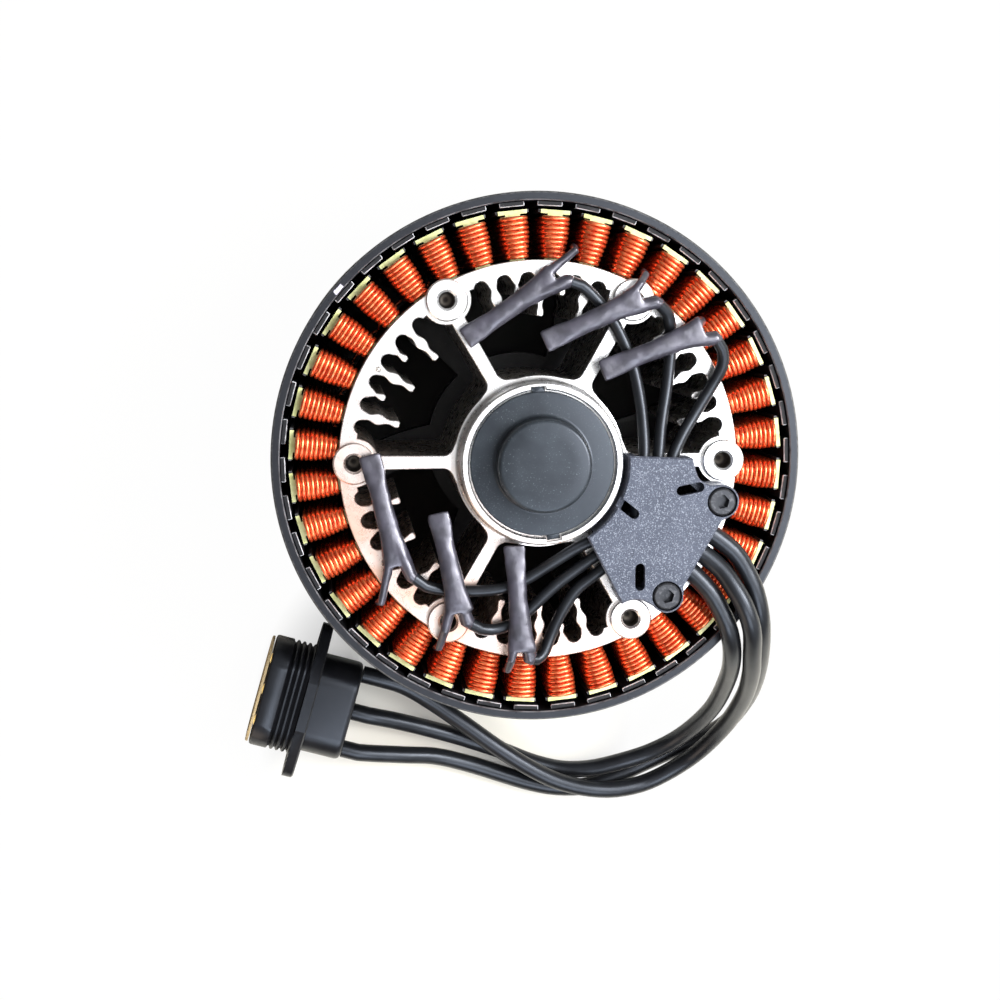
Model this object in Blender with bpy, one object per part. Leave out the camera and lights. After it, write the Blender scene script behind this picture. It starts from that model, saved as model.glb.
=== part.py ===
# Outrunner drone motor, seen from its mounting side: 36 wound teeth inside a ring of
# 42 magnets, a finned aluminium carrier, six lead splices, a cable clamp and three
# phase cables that end in a flanged connector.
# Units are metres. +Z points up from the propeller pad, which rests at z = 0, to the
# mounting side. The motor axis is the Z axis.

import math

import bmesh
import bpy
from mathutils import Matrix, Vector

for old in list(bpy.data.objects):
    bpy.data.objects.remove(old)

# Clearances
FIT = 0.0003            # between pieces that seat on each other
AIR_GAP = 0.0006        # between the stator and the magnets

# Stator stack, windings and insulation
STATOR_RADIUS = 0.0500
STACK_BOTTOM = 0.0130
STACK_LENGTH = 0.0300
TOOTH_COUNT = 36
TOOTH_PHASE = 6.0       # degrees from +X to the first tooth
TOOTH_WIDTH = 0.0030
SHOE_WIDTH = 0.0066
SHOE_THICKNESS = 0.0007
YOKE_INNER_RADIUS = 0.0385
YOKE_OUTER_RADIUS = 0.0400
INSULATOR_THICKNESS = 0.0005
INSULATOR_BAR_WIDTH = 0.0058
INSULATOR_BAR_DEPTH = 0.0009
COIL_WIDTH = 0.0055
COIL_INNER_TURN_WIDTH = 0.0047
COIL_END_HEIGHT = 0.0022
COIL_RADIAL_LENGTH = 0.0087
COIL_TURNS = 8
COIL_TURN_DEPTH = 0.00028
LINK_WIRE_RADIUS = 0.00035
LINK_WIRE_PITCH = 0.00095

# Rotor
MAGNET_COUNT = 42
MAGNET_PHASE = 1.7      # degrees
MAGNET_WIDTH = 0.0050
MAGNET_THICKNESS = 0.0011
MAGNET_LENGTH = 0.0345
MAGNET_RECESS = 0.0008
RING_THICKNESS = 0.0018
RING_TOP = 0.0450
BELL_EDGE_CHAMFER = 0.0006
BELL_PAD_RADIUS = 0.0160
BELL_PAD_HEIGHT = 0.0010
BELL_WEB_THICKNESS = 0.0036
BELL_RIM_HEIGHT = 0.0055
BELL_SPIGOT_HEIGHT = 0.0022
BELL_SPIGOT_THICKNESS = 0.0015
BELL_WINDOW_COUNT = 6
BELL_ARM_WIDTH = 0.0080
BELL_ARM_SWEEP = 16.0   # degrees between an arm's root and its end
BELL_WINDOW_INNER_RADIUS = 0.0200
BELL_WINDOW_OUTER_RADIUS = 0.0465
BELL_BOSS_RADIUS = 0.0080
PROP_SCREW_COUNT = 4
PROP_SCREW_CIRCLE_RADIUS = 0.0115
PROP_SCREW_HOLE_RADIUS = 0.0016
PROP_SCREW_HOLE_DEPTH = 0.0032

# Shaft and bearings
SHAFT_RADIUS = 0.0060
SHAFT_BOTTOM = 0.0018
SHAFT_TOP = 0.0530
SHAFT_CHAMFER = 0.0005
BEARING_OUTER_RADIUS = 0.0120
BEARING_WIDTH = 0.0060
BEARING_RACE_THICKNESS = 0.0013
BEARING_BALL_COUNT = 7
LOWER_BEARING_BOTTOM = 0.0105
UPPER_BEARING_BOTTOM = 0.0420
CLIP_THICKNESS = 0.0008
CLIP_OUTER_RADIUS = 0.0078
CLIP_GROOVE_DEPTH = 0.0008

# Carrier
CARRIER_TOP = 0.0473
CARRIER_BOTTOM = 0.0125
CARRIER_FLANGE_RADIUS = 0.0400
RIM_SEGMENTS = 36
HUB_SEGMENTS = 24
SPOKE_COUNT = 6
SPOKE_WIDTH = 0.0026
SPOKE_FILLET = 0.0022
HUB_BASE_RADIUS = 0.0172
HUB_RADIUS = 0.0161
HUB_TOP = 0.0530
HUB_BOTTOM = 0.0102
BEARING_SHOULDER_DEPTH = 0.0012
CAP_SEAT_RADIUS = 0.0146
CAP_SEAT_DEPTH = 0.0022
FIN_TIP_RADIUS_LONG = 0.0292
FIN_TIP_RADIUS_SHORT = 0.0335
FIN_WIDTH_LONG = 0.0017
FIN_WIDTH_SHORT = 0.0012
FIN_TAPER = 0.25        # share of its width that a fin loses towards its tip
FIN_PITCH = 7.5         # degrees
FIN_ROOT_DEPTH = 0.0008     # between a fin's root and the middle of the slot's round end
FINGER_SLOT_RADIUS = 0.0015
FINGER_SLOT_END_RADIUS = 0.0376
BOSS_CIRCLE_RADIUS = 0.0370
BOSS_RADIUS = 0.0042
BOSS_RISE = 0.0014
BOSS_HOLE_RADIUS = 0.00165
BOSS_HOLE_DEPTH = 0.0040
BOSS_CLEAR_RADIUS = 0.0049
PIN_HOLE_RADIUS = 0.00045
PIN_HOLE_CIRCLE_RADIUS = 0.0370
PIN_HOLE_ANGLE = 150.0

# Hub cap
CAP_FLANGE_THICKNESS = 0.0013
CAP_BUTTON_RADIUS = 0.0093
CAP_BUTTON_TOP = 0.0574
CAP_BUTTON_BEVEL = 0.0008
CAP_WALL = 0.0014
CAP_TAB_WIDTH = 0.0026
CAP_TAB_REACH = 0.0006
CAP_TAB_ANGLES = (93.5, 278.7)

# Cable clamp cover, with its outline in the XY plane
COVER_TOP = 0.0545
COVER_PLATE = 0.0015
COVER_HUB_CLEARANCE = 0.0008
COVER_HUB_ARC = (-58.8, 5.5)
COVER_LOBE_RADIUS = 0.0034
COVER_WALL = 0.0012
COVER_CAVITY = ((0.0165, -0.0252), (0.0206, -0.0252), (0.0226, -0.0222), (0.0262, -0.0215),
                (0.0325, -0.0115), (0.0320, -0.0085), (0.0310, -0.0056), (0.0288, -0.0036),
                (0.0284, -0.0004))
COVER_TOP_MOUTH = ((0.0184, -0.0030), (0.0276, -0.0030), (0.0276, 0.0040), (0.0184, 0.0040))
COVER_LOW_MOUTH = ((0.0045, -0.0160), (0.0085, -0.0140), (0.0130, -0.0127),
                   (0.0180, -0.0230), (0.0110, -0.0290))
COVER_SLOT_WIDTH = 0.0020
COVER_SLOTS = (((0.0274, -0.0054), (0.0310, -0.0047)), ((0.0140, -0.0067), (0.0180, -0.0099)),
               ((0.0193, -0.0208), (0.0193, -0.0243)))
SCREW_PLACES = ((0.0357, -0.0077), (0.0248, -0.0265))
SCREW_HEAD_RADIUS = 0.00275
SCREW_HEAD_HEIGHT = 0.0030
SCREW_SHANK_RADIUS = 0.0014
SCREW_ENGAGEMENT = 0.0026
SCREW_PAD_RADIUS = 0.0032
SCREW_WINDOW_ANGLE = 17.6   # degrees from the middle of the window under the cover
SCREW_SOCKET_RADIUS = 0.0013
SCREW_SOCKET_DEPTH = 0.0014

# Wires
LEAD_RADIUS = 0.0012
LEAD_STACK_OFFSET = 0.00135
LEAD_STRAIGHT = 0.0016      # where a lead enters its crimp
CABLE_RADIUS = 0.00195
CABLE_HEIGHT = 0.0502
CABLE_SPACING = 0.0043
CABLE_EXIT = (0.0320, -0.0181)
CABLE_EXIT_ANGLE = -30.3
CRIMP_RADIUS = 0.0018
CRIMP_LENGTH = 0.0060
CRIMP_SETBACK = 0.0025

# Connector, in its own frame: x runs from the mating face back to the cables
CONNECTOR_PLACE = (-0.0582, -0.0541)
CONNECTOR_TURN = -16.0  # degrees
CONNECTOR_AXIS_HEIGHT = 0.0082
CONNECTOR_HALF_WIDTH = 0.0124
CONNECTOR_HALF_HEIGHT = 0.0072
CONNECTOR_CORNER = 0.0060
CONNECTOR_NOSE_LENGTH = 0.0048
CONNECTOR_RIB_COUNT = 4
CONNECTOR_RIB_PITCH = 0.0013
CONNECTOR_RIB_DEPTH = 0.0006
CONNECTOR_FLANGE_THICKNESS = 0.0024
CONNECTOR_FLANGE_HALF_SPAN = 0.0180
CONNECTOR_FLANGE_EAR_RADIUS = 0.0036
CONNECTOR_EAR_HOLE_RADIUS = 0.0016
CONNECTOR_BACK_LENGTH = 0.0088
CONNECTOR_BACK_HALF_WIDTH = 0.0112
CONNECTOR_BACK_HALF_HEIGHT = 0.0062
CONNECTOR_SOCKET_WALL = 0.0018
CONNECTOR_SOCKET_DEPTH = 0.0090
OUTLET_SPACING = 0.0088
OUTLET_STRAIGHT = 0.0040
CONTACT_SPACING = 0.0072
CONTACT_RADIUS = 0.0018
CONTACT_LENGTH = 0.0078
INSERT_DEPTH = 0.0030
FACE_SEAL_THICKNESS = 0.0006

# Worked out from the sizes above
STACK_TOP = STACK_BOTTOM + STACK_LENGTH
FRONT_INSULATOR_BOTTOM = STACK_TOP + FIT
FRONT_INSULATOR_TOP = FRONT_INSULATOR_BOTTOM + INSULATOR_THICKNESS
REAR_INSULATOR_TOP = STACK_BOTTOM - FIT
REAR_INSULATOR_BOTTOM = REAR_INSULATOR_TOP - INSULATOR_THICKNESS
COIL_HOLE_TOP = FRONT_INSULATOR_TOP + FIT
COIL_HOLE_BOTTOM = REAR_INSULATOR_BOTTOM - FIT
COIL_OUTER_RADIUS = STATOR_RADIUS - SHOE_THICKNESS - FIT
COIL_INNER_RADIUS = COIL_OUTER_RADIUS - COIL_RADIAL_LENGTH
MAGNET_INNER_RADIUS = STATOR_RADIUS + AIR_GAP
RING_INNER_RADIUS = MAGNET_INNER_RADIUS + MAGNET_THICKNESS
RING_OUTER_RADIUS = RING_INNER_RADIUS + RING_THICKNESS
BELL_RIM_TOP = BELL_PAD_HEIGHT + BELL_RIM_HEIGHT
RING_BOTTOM = BELL_RIM_TOP + FIT
MAGNET_TOP = RING_TOP - MAGNET_RECESS
MAGNET_BOTTOM = MAGNET_TOP - MAGNET_LENGTH
BELL_BOSS_TOP = LOWER_BEARING_BOTTOM - FIT
CARRIER_BODY_RADIUS = YOKE_INNER_RADIUS - FIT
FLANGE_BOTTOM = FRONT_INSULATOR_TOP + FIT
BEARING_SEAT_RADIUS = BEARING_OUTER_RADIUS + FIT
SHOULDER_BOTTOM = LOWER_BEARING_BOTTOM + BEARING_WIDTH + FIT
SHOULDER_TOP = UPPER_BEARING_BOTTOM - FIT
CAP_SEAT_HEIGHT = HUB_TOP - CAP_SEAT_DEPTH
COVER_BOTTOM = CARRIER_TOP + FIT
COVER_UNDERSIDE = COVER_TOP - COVER_PLATE
CABLE_DIRECTION = Vector((math.cos(math.radians(CABLE_EXIT_ANGLE)),
                          math.sin(math.radians(CABLE_EXIT_ANGLE)), 0.0))
CABLE_SIDE = Vector((-CABLE_DIRECTION.y, CABLE_DIRECTION.x, 0.0))

# Colour, roughness and metallic value of each material
FINISHES = {
    "black_steel": ((0.020, 0.020, 0.022), 0.45, 0.6),
    "aluminium": ((0.75, 0.74, 0.72), 0.30, 1.0),
    "black_aluminium": ((0.030, 0.030, 0.033), 0.40, 0.7),
    "steel": ((0.55, 0.55, 0.56), 0.25, 1.0),
    "lamination": ((0.10, 0.10, 0.10), 0.55, 0.7),
    "insulator": ((0.62, 0.66, 0.18), 0.45, 0.0),
    "enamelled_copper": ((0.80, 0.20, 0.04), 0.28, 0.6),
    "dark_plastic": ((0.045, 0.055, 0.065), 0.40, 0.0),
    "grey_plastic": ((0.17, 0.19, 0.23), 0.50, 0.0),
    "heat_shrink": ((0.035, 0.033, 0.040), 0.40, 0.0),
    "silicone": ((0.028, 0.028, 0.030), 0.55, 0.0),
    "black_oxide": ((0.020, 0.020, 0.020), 0.35, 0.8),
    "connector_plastic": ((0.012, 0.012, 0.013), 0.30, 0.0),
    "tan_rubber": ((0.55, 0.42, 0.24), 0.60, 0.0),
    "gold": ((0.90, 0.66, 0.25), 0.20, 1.0),
}


def finish(name):
    """Return the material of that name, made once."""
    made = bpy.data.materials.get(name)
    if made:
        return made
    colour, roughness, metallic = FINISHES[name]
    made = bpy.data.materials.new(name)
    made.use_nodes = True
    shader = made.node_tree.nodes["Principled BSDF"]
    shader.inputs["Base Color"].default_value = (*colour, 1.0)
    shader.inputs["Roughness"].default_value = roughness
    shader.inputs["Metallic"].default_value = metallic
    return made


def object_from(bm, name, material):
    """Turn a bmesh into a linked object with outward faces and soft shading."""
    bmesh.ops.recalc_face_normals(bm, faces=bm.faces)
    mesh = bpy.data.meshes.new(name)
    bm.to_mesh(mesh)
    bm.free()
    mesh.shade_smooth()
    mesh.set_sharp_from_angle(angle=math.radians(35))
    made = bpy.data.objects.new(name, mesh)
    made.data.materials.append(finish(material))
    bpy.context.scene.collection.objects.link(made)
    return made


def combine(target, tool, operation):
    """Join the tool to the target or cut it away, and drop the tool."""
    step = target.modifiers.new(operation.title(), "BOOLEAN")
    step.operation = operation
    step.solver = "EXACT"
    step.object = tool
    graph = bpy.context.evaluated_depsgraph_get()
    mesh = bpy.data.meshes.new_from_object(target.evaluated_get(graph))
    target.modifiers.clear()
    target.data = mesh
    bpy.data.objects.remove(tool)
    mesh.shade_smooth()
    mesh.set_sharp_from_angle(angle=math.radians(35))
    return target


def polar(radius, degrees):
    """Point in the XY plane at a radius and an angle."""
    angle = math.radians(degrees)
    return Vector((radius * math.cos(angle), radius * math.sin(angle)))


def beside(radius, degrees, offset):
    """Point at a radius along a ray, moved sideways from it."""
    angle = math.radians(degrees)
    return polar(radius, degrees) + offset * Vector((-math.sin(angle), math.cos(angle)))


def arc(centre, radius, start, end, steps):
    """Points of an arc about a centre, ends included."""
    turn = (end - start) / steps
    return [Vector(centre) + polar(radius, start + turn * i) for i in range(steps + 1)]


def circle(centre, radius, segments, phase=0.0):
    """Points of a full circle, counterclockwise."""
    return [Vector(centre) + polar(radius, phase + 360.0 * i / segments)
            for i in range(segments)]


def slab(name, material, outline, bottom, top, holes=()):
    """Extrude an outline with holes from one height to another."""
    bm = bmesh.new()
    edges = []
    for loop in (outline, *holes):
        corners = [bm.verts.new((p[0], p[1], bottom)) for p in loop]
        for i, corner in enumerate(corners):
            edges.append(bm.edges.new((corner, corners[(i + 1) % len(corners)])))
    bmesh.ops.triangle_fill(bm, use_beauty=True, edges=edges)
    grown = bmesh.ops.extrude_face_region(bm, geom=list(bm.faces))
    risen = [g for g in grown["geom"] if isinstance(g, bmesh.types.BMVert)]
    bmesh.ops.translate(bm, verts=risen, vec=(0.0, 0.0, top - bottom))
    return object_from(bm, name, material)


def turned(name, material, profile, segments, phase=0.0):
    """Revolve a closed (radius, height) profile about the Z axis."""
    bm = bmesh.new()
    start = math.radians(phase)
    corners = [bm.verts.new((r * math.cos(start), r * math.sin(start), z))
               for r, z in profile]
    edges = [bm.edges.new((corner, corners[(i + 1) % len(corners)]))
             for i, corner in enumerate(corners)
             if not (profile[i][0] == 0.0 and profile[(i + 1) % len(profile)][0] == 0.0)]
    bmesh.ops.spin(bm, geom=corners + edges, cent=(0, 0, 0), axis=(0, 0, 1),
                   angle=2 * math.pi, steps=segments, use_merge=True)
    bmesh.ops.remove_doubles(bm, verts=bm.verts, dist=1e-7)
    return object_from(bm, name, material)


def loft(bm, rings):
    """Skin closed rings of points one after the other, with capped ends."""
    rows = [[bm.verts.new(p) for p in ring] for ring in rings]
    count = len(rows[0])
    for row, following in zip(rows, rows[1:]):
        for i in range(count):
            j = (i + 1) % count
            bm.faces.new((row[i], row[j], following[j], following[i]))
    bm.faces.new(list(reversed(rows[0])))
    bm.faces.new(rows[-1])


def smooth_route(points, spacing):
    """Even points on a smooth curve from the second point to the last but one."""
    fine = []
    for before, a, b, after in zip(points, points[1:], points[2:], points[3:]):
        for i in range(24):
            t = i / 24
            fine.append(0.5 * (2 * a + (b - before) * t
                               + (2 * before - 5 * a + 4 * b - after) * t * t
                               + (3 * a - 3 * b + after - before) * t * t * t))
    fine.append(points[-2])
    total = sum((b - a).length for a, b in zip(fine, fine[1:]))
    steps = max(2, round(total / spacing))
    picked = [fine[0]]
    walked = 0.0
    for a, b in zip(fine, fine[1:]):
        span = (b - a).length
        while len(picked) < steps and walked + span >= total * len(picked) / steps:
            share = (total * len(picked) / steps - walked) / span
            picked.append(a.lerp(b, share))
        walked += span
    picked.append(fine[-1])
    return picked


def wire(name, material, points, radius, spacing, resolution):
    """Round wire with straight ends, as a bevelled curve with filled caps."""
    points = [Vector(p) for p in points]
    route = [points[0], *smooth_route(points, spacing), points[-1]]
    curve = bpy.data.curves.new(name, "CURVE")
    curve.dimensions = "3D"
    curve.bevel_depth = radius
    curve.bevel_resolution = resolution
    curve.use_fill_caps = True
    spline = curve.splines.new("POLY")
    spline.points.add(len(route) - 1)
    for slot, point in zip(spline.points, route):
        slot.co = (*point, 1.0)
    made = bpy.data.objects.new(name, curve)
    made.data.materials.append(finish(material))
    bpy.context.scene.collection.objects.link(made)
    return made


def stator_core():
    """Laminated stack: a thin yoke with 36 teeth that end in wide shoes."""
    outline = []
    for k in range(TOOTH_COUNT):
        angle = TOOTH_PHASE + k * 360.0 / TOOTH_COUNT
        half = TOOTH_WIDTH / 2
        shoe = SHOE_WIDTH / 2
        neck = STATOR_RADIUS - SHOE_THICKNESS
        outline += [beside(YOKE_OUTER_RADIUS, angle, -half),
                    beside(neck, angle, -half),
                    beside(neck, angle, -shoe),
                    beside(STATOR_RADIUS - 0.0001, angle, -shoe),
                    beside(STATOR_RADIUS - 0.0001, angle, shoe),
                    beside(neck, angle, shoe),
                    beside(neck, angle, half),
                    beside(YOKE_OUTER_RADIUS, angle, half)]
    bore = circle((0, 0), YOKE_INNER_RADIUS, RIM_SEGMENTS)
    return slab("stator_core", "lamination", outline, STACK_BOTTOM, STACK_TOP, [bore])


def end_insulator(name, bottom, top, barred):
    """Moulded plate on the end of the stack, with an arm for each tooth."""
    outline = []
    half = TOOTH_WIDTH / 2
    bar = INSULATOR_BAR_WIDTH / 2
    edge = STATOR_RADIUS - 0.0001
    neck = STATOR_RADIUS - INSULATOR_BAR_DEPTH if barred else edge
    for k in range(TOOTH_COUNT):
        angle = TOOTH_PHASE + k * 360.0 / TOOTH_COUNT
        outline += [beside(YOKE_OUTER_RADIUS, angle, -half), beside(neck, angle, -half)]
        if barred:
            outline += [beside(neck, angle, -bar), beside(edge, angle, -bar),
                        beside(edge, angle, bar), beside(neck, angle, bar)]
        outline += [beside(neck, angle, half), beside(YOKE_OUTER_RADIUS, angle, half)]
    bore = circle((0, 0), YOKE_INNER_RADIUS, RIM_SEGMENTS)
    return slab(name, "insulator", outline, bottom, top, [bore])


def coil(bm, angle):
    """Rectangular coil about one tooth, with a ridge on top for each turn."""
    placing = Matrix.Rotation(math.radians(angle), 4, "Z")

    def row(radius, half, low, high):
        return [bm.verts.new(placing @ Vector((radius, y, z)))
                for y, z in ((-half, low), (half, low), (half, high), (-half, high))]

    hole_half = TOOTH_WIDTH / 2 + FIT
    low = COIL_HOLE_BOTTOM - COIL_END_HEIGHT
    high = COIL_HOLE_TOP + COIL_END_HEIGHT
    pitch = COIL_RADIAL_LENGTH / COIL_TURNS
    ends = [row(COIL_INNER_RADIUS, COIL_INNER_TURN_WIDTH / 2, low, high),
            row(COIL_OUTER_RADIUS, COIL_WIDTH / 2, low, high)]
    hole = [row(radius, hole_half, COIL_HOLE_BOTTOM, COIL_HOLE_TOP)
            for radius in (COIL_INNER_RADIUS, COIL_OUTER_RADIUS)]
    sides = [[ends[0][3]], [ends[0][2]]]
    for step in range(1, 2 * COIL_TURNS):
        share = step / (2 * COIL_TURNS)
        half = (COIL_INNER_TURN_WIDTH * (1 - share) + COIL_WIDTH * share) / 2
        rise = COIL_TURN_DEPTH if step % 2 else 0.0
        radius = COIL_INNER_RADIUS + step * pitch / 2
        for side, y in zip(sides, (-half, half)):
            side.append(bm.verts.new(placing @ Vector((radius, y, high + rise))))
    for side, corner in zip(sides, (3, 2)):
        side.append(ends[1][corner])
    for i in range(2 * COIL_TURNS):
        bm.faces.new((sides[0][i], sides[1][i], sides[1][i + 1], sides[0][i + 1]))
    bm.faces.new((*sides[0], ends[1][0], ends[0][0]))
    bm.faces.new((*sides[1], ends[1][1], ends[0][1]))
    bm.faces.new((ends[0][0], ends[0][1], ends[1][1], ends[1][0]))
    for i in range(4):
        j = (i + 1) % 4
        bm.faces.new((hole[0][i], hole[0][j], hole[1][j], hole[1][i]))
        for outer, inner in zip(ends, hole):
            bm.faces.new((outer[i], inner[i], inner[j], outer[j]))


def link_wire(phase):
    """Wire below the coils that runs into each pair of its phase and on to the next."""
    height = COIL_HOLE_BOTTOM - LINK_WIRE_RADIUS - phase * LINK_WIRE_PITCH
    away = COIL_INNER_RADIUS - 3 * LINK_WIRE_RADIUS
    inside = COIL_INNER_RADIUS + 2 * LINK_WIRE_RADIUS
    pitch = 360.0 / TOOTH_COUNT
    stations = []
    for pair in range(TOOTH_COUNT // 6):
        first = TOOTH_PHASE + (phase * 2 + pair * 6) * pitch
        stations += [(away, first - 0.5 * pitch), (inside, first - 0.2 * pitch),
                     (inside, first + 1.2 * pitch), (away, first + 1.5 * pitch)]
    bm = bmesh.new()
    side = LINK_WIRE_RADIUS
    rows = []
    for radius, angle in stations:
        rows.append([bm.verts.new((*polar(radius + dr, angle), height + dz))
                     for dr, dz in ((-side, -side), (side, -side), (side, side),
                                    (-side, side))])
    for row, following in zip(rows, rows[1:] + rows[:1]):
        for i in range(4):
            j = (i + 1) % 4
            bm.faces.new((row[i], row[j], following[j], following[i]))
    return object_from(bm, "link", "enamelled_copper")


def phase_winding(name, phase):
    """One phase: twelve coils of one wire, in pairs, joined by a link wire below."""
    bm = bmesh.new()
    for pair in range(TOOTH_COUNT // 6):
        for member in range(2):
            tooth = phase * 2 + pair * 6 + member
            coil(bm, TOOTH_PHASE + tooth * 360.0 / TOOTH_COUNT)
    winding = object_from(bm, name, "enamelled_copper")
    return combine(winding, link_wire(phase), "UNION")


def rotor_ring():
    """Steel ring with the magnets bonded inside it."""
    half = math.degrees(math.asin(MAGNET_WIDTH / 2 / RING_INNER_RADIUS))
    inner_half = math.degrees(math.asin(MAGNET_WIDTH / 2 / MAGNET_INNER_RADIUS))
    pitch = 360.0 / MAGNET_COUNT
    centres = [MAGNET_PHASE + k * pitch for k in range(MAGNET_COUNT)]
    edges = [c + s * half for c in centres for s in (-1, 1)]

    def plain(radius):
        return [polar(radius, a) for e in range(0, len(edges), 2)
                for a in (edges[e], edges[e], edges[e + 1], edges[e + 1])]

    def with_magnets():
        points = []
        for c in centres:
            points += [polar(RING_INNER_RADIUS, c - half),
                       polar(MAGNET_INNER_RADIUS, c - inner_half),
                       polar(MAGNET_INNER_RADIUS, c + inner_half),
                       polar(RING_INNER_RADIUS, c + half)]
        return points

    walls = [(RING_BOTTOM, plain(RING_OUTER_RADIUS)),
             (RING_TOP, plain(RING_OUTER_RADIUS)),
             (RING_TOP, plain(RING_INNER_RADIUS)),
             (MAGNET_TOP, plain(RING_INNER_RADIUS)),
             (MAGNET_TOP, with_magnets()),
             (MAGNET_BOTTOM, with_magnets()),
             (MAGNET_BOTTOM, plain(RING_INNER_RADIUS)),
             (RING_BOTTOM, plain(RING_INNER_RADIUS))]
    bm = bmesh.new()
    rows = [[bm.verts.new((p.x, p.y, z)) for p in loop] for z, loop in walls]
    count = len(rows[0])
    for row, following in zip(rows, rows[1:] + rows[:1]):
        for i in range(count):
            j = (i + 1) % count
            bm.faces.new((row[i], row[j], following[j], following[i]))
    bmesh.ops.remove_doubles(bm, verts=bm.verts, dist=1e-6)
    return object_from(bm, "rotor_ring", "black_steel")


def bell_window(k):
    """Outline of one opening between two swept arms of the bell."""
    pitch = 360.0 / BELL_WINDOW_COUNT
    steps = 3
    half_arm = BELL_ARM_WIDTH / 2

    def edge(side):
        points = []
        for i in range(steps + 1):
            t = i / steps
            radius = BELL_WINDOW_INNER_RADIUS + t * (BELL_WINDOW_OUTER_RADIUS
                                                     - BELL_WINDOW_INNER_RADIUS)
            middle = (k + (side + 1) / 2) * pitch + BELL_ARM_SWEEP * t
            shift = math.degrees(half_arm / radius)
            points.append((radius, middle - side * shift))
        return points

    low = edge(-1)
    high = edge(1)
    outline = [polar(r, a) for r, a in low]
    start, end = low[-1][1], high[-1][1]
    outline += [polar(BELL_WINDOW_OUTER_RADIUS, start + (end - start) * i / 4)
                for i in range(1, 4)]
    outline += [polar(r, a) for r, a in reversed(high)]
    start, end = high[0][1], low[0][1]
    outline.append(polar(BELL_WINDOW_INNER_RADIUS, (start + end) / 2))
    return outline


def rotor_bell():
    """Propeller-side bell: pad, swept arms, rim and the spigot that holds the ring."""
    web_top = BELL_PAD_HEIGHT + BELL_WEB_THICKNESS
    spigot = RING_INNER_RADIUS - FIT
    spigot_inner = spigot - BELL_SPIGOT_THICKNESS
    profile = [(0.0, 0.0), (BELL_PAD_RADIUS, 0.0),
               (BELL_PAD_RADIUS, BELL_PAD_HEIGHT),
               (RING_OUTER_RADIUS - BELL_EDGE_CHAMFER, BELL_PAD_HEIGHT),
               (RING_OUTER_RADIUS, BELL_PAD_HEIGHT + BELL_EDGE_CHAMFER),
               (RING_OUTER_RADIUS, BELL_RIM_TOP), (spigot, BELL_RIM_TOP),
               (spigot, BELL_RIM_TOP + BELL_SPIGOT_HEIGHT),
               (spigot_inner, BELL_RIM_TOP + BELL_SPIGOT_HEIGHT),
               (BELL_WINDOW_OUTER_RADIUS + 0.001, web_top),
               (BELL_BOSS_RADIUS + 0.004, web_top),
               (BELL_BOSS_RADIUS, web_top + 0.004),
               (BELL_BOSS_RADIUS, BELL_BOSS_TOP),
               (SHAFT_RADIUS + FIT, BELL_BOSS_TOP),
               (SHAFT_RADIUS + FIT, SHAFT_BOTTOM - FIT),
               (0.0, SHAFT_BOTTOM - FIT)]
    bell = turned("rotor_bell", "black_aluminium", profile, 36)
    for k in range(BELL_WINDOW_COUNT):
        cutter = slab("window", "black_aluminium", bell_window(k),
                      -0.002, BELL_RIM_TOP + 0.004)
        combine(bell, cutter, "DIFFERENCE")
    for k in range(PROP_SCREW_COUNT):
        place = polar(PROP_SCREW_CIRCLE_RADIUS, 45.0 + k * 360.0 / PROP_SCREW_COUNT)
        cutter = slab("prop_hole", "black_aluminium",
                      circle(place, PROP_SCREW_HOLE_RADIUS, 6),
                      -0.002, PROP_SCREW_HOLE_DEPTH)
        combine(bell, cutter, "DIFFERENCE")
    return bell


def shaft():
    """Steel shaft pressed into the bell, with a groove for the clip."""
    groove = SHAFT_RADIUS - CLIP_GROOVE_DEPTH
    clip_bottom = UPPER_BEARING_BOTTOM + BEARING_WIDTH + FIT
    clip_top = clip_bottom + CLIP_THICKNESS
    profile = [(0.0, SHAFT_BOTTOM), (SHAFT_RADIUS - SHAFT_CHAMFER, SHAFT_BOTTOM),
               (SHAFT_RADIUS, SHAFT_BOTTOM + SHAFT_CHAMFER),
               (SHAFT_RADIUS, clip_bottom - FIT), (groove, clip_bottom - FIT),
               (groove, clip_top + FIT), (SHAFT_RADIUS, clip_top + FIT),
               (SHAFT_RADIUS, SHAFT_TOP - SHAFT_CHAMFER),
               (SHAFT_RADIUS - SHAFT_CHAMFER, SHAFT_TOP), (0.0, SHAFT_TOP)]
    return turned("shaft", "steel", profile, 16)


def shaft_clip():
    """Retaining ring in the shaft's groove, open at one side."""
    bottom = UPPER_BEARING_BOTTOM + BEARING_WIDTH + FIT
    inner = SHAFT_RADIUS - CLIP_GROOVE_DEPTH + FIT
    outline = arc((0, 0), CLIP_OUTER_RADIUS, 20, 340, 16)
    outline += arc((0, 0), inner, 340, 20, 16)
    return slab("shaft_clip", "steel", outline, bottom, bottom + CLIP_THICKNESS)


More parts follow.
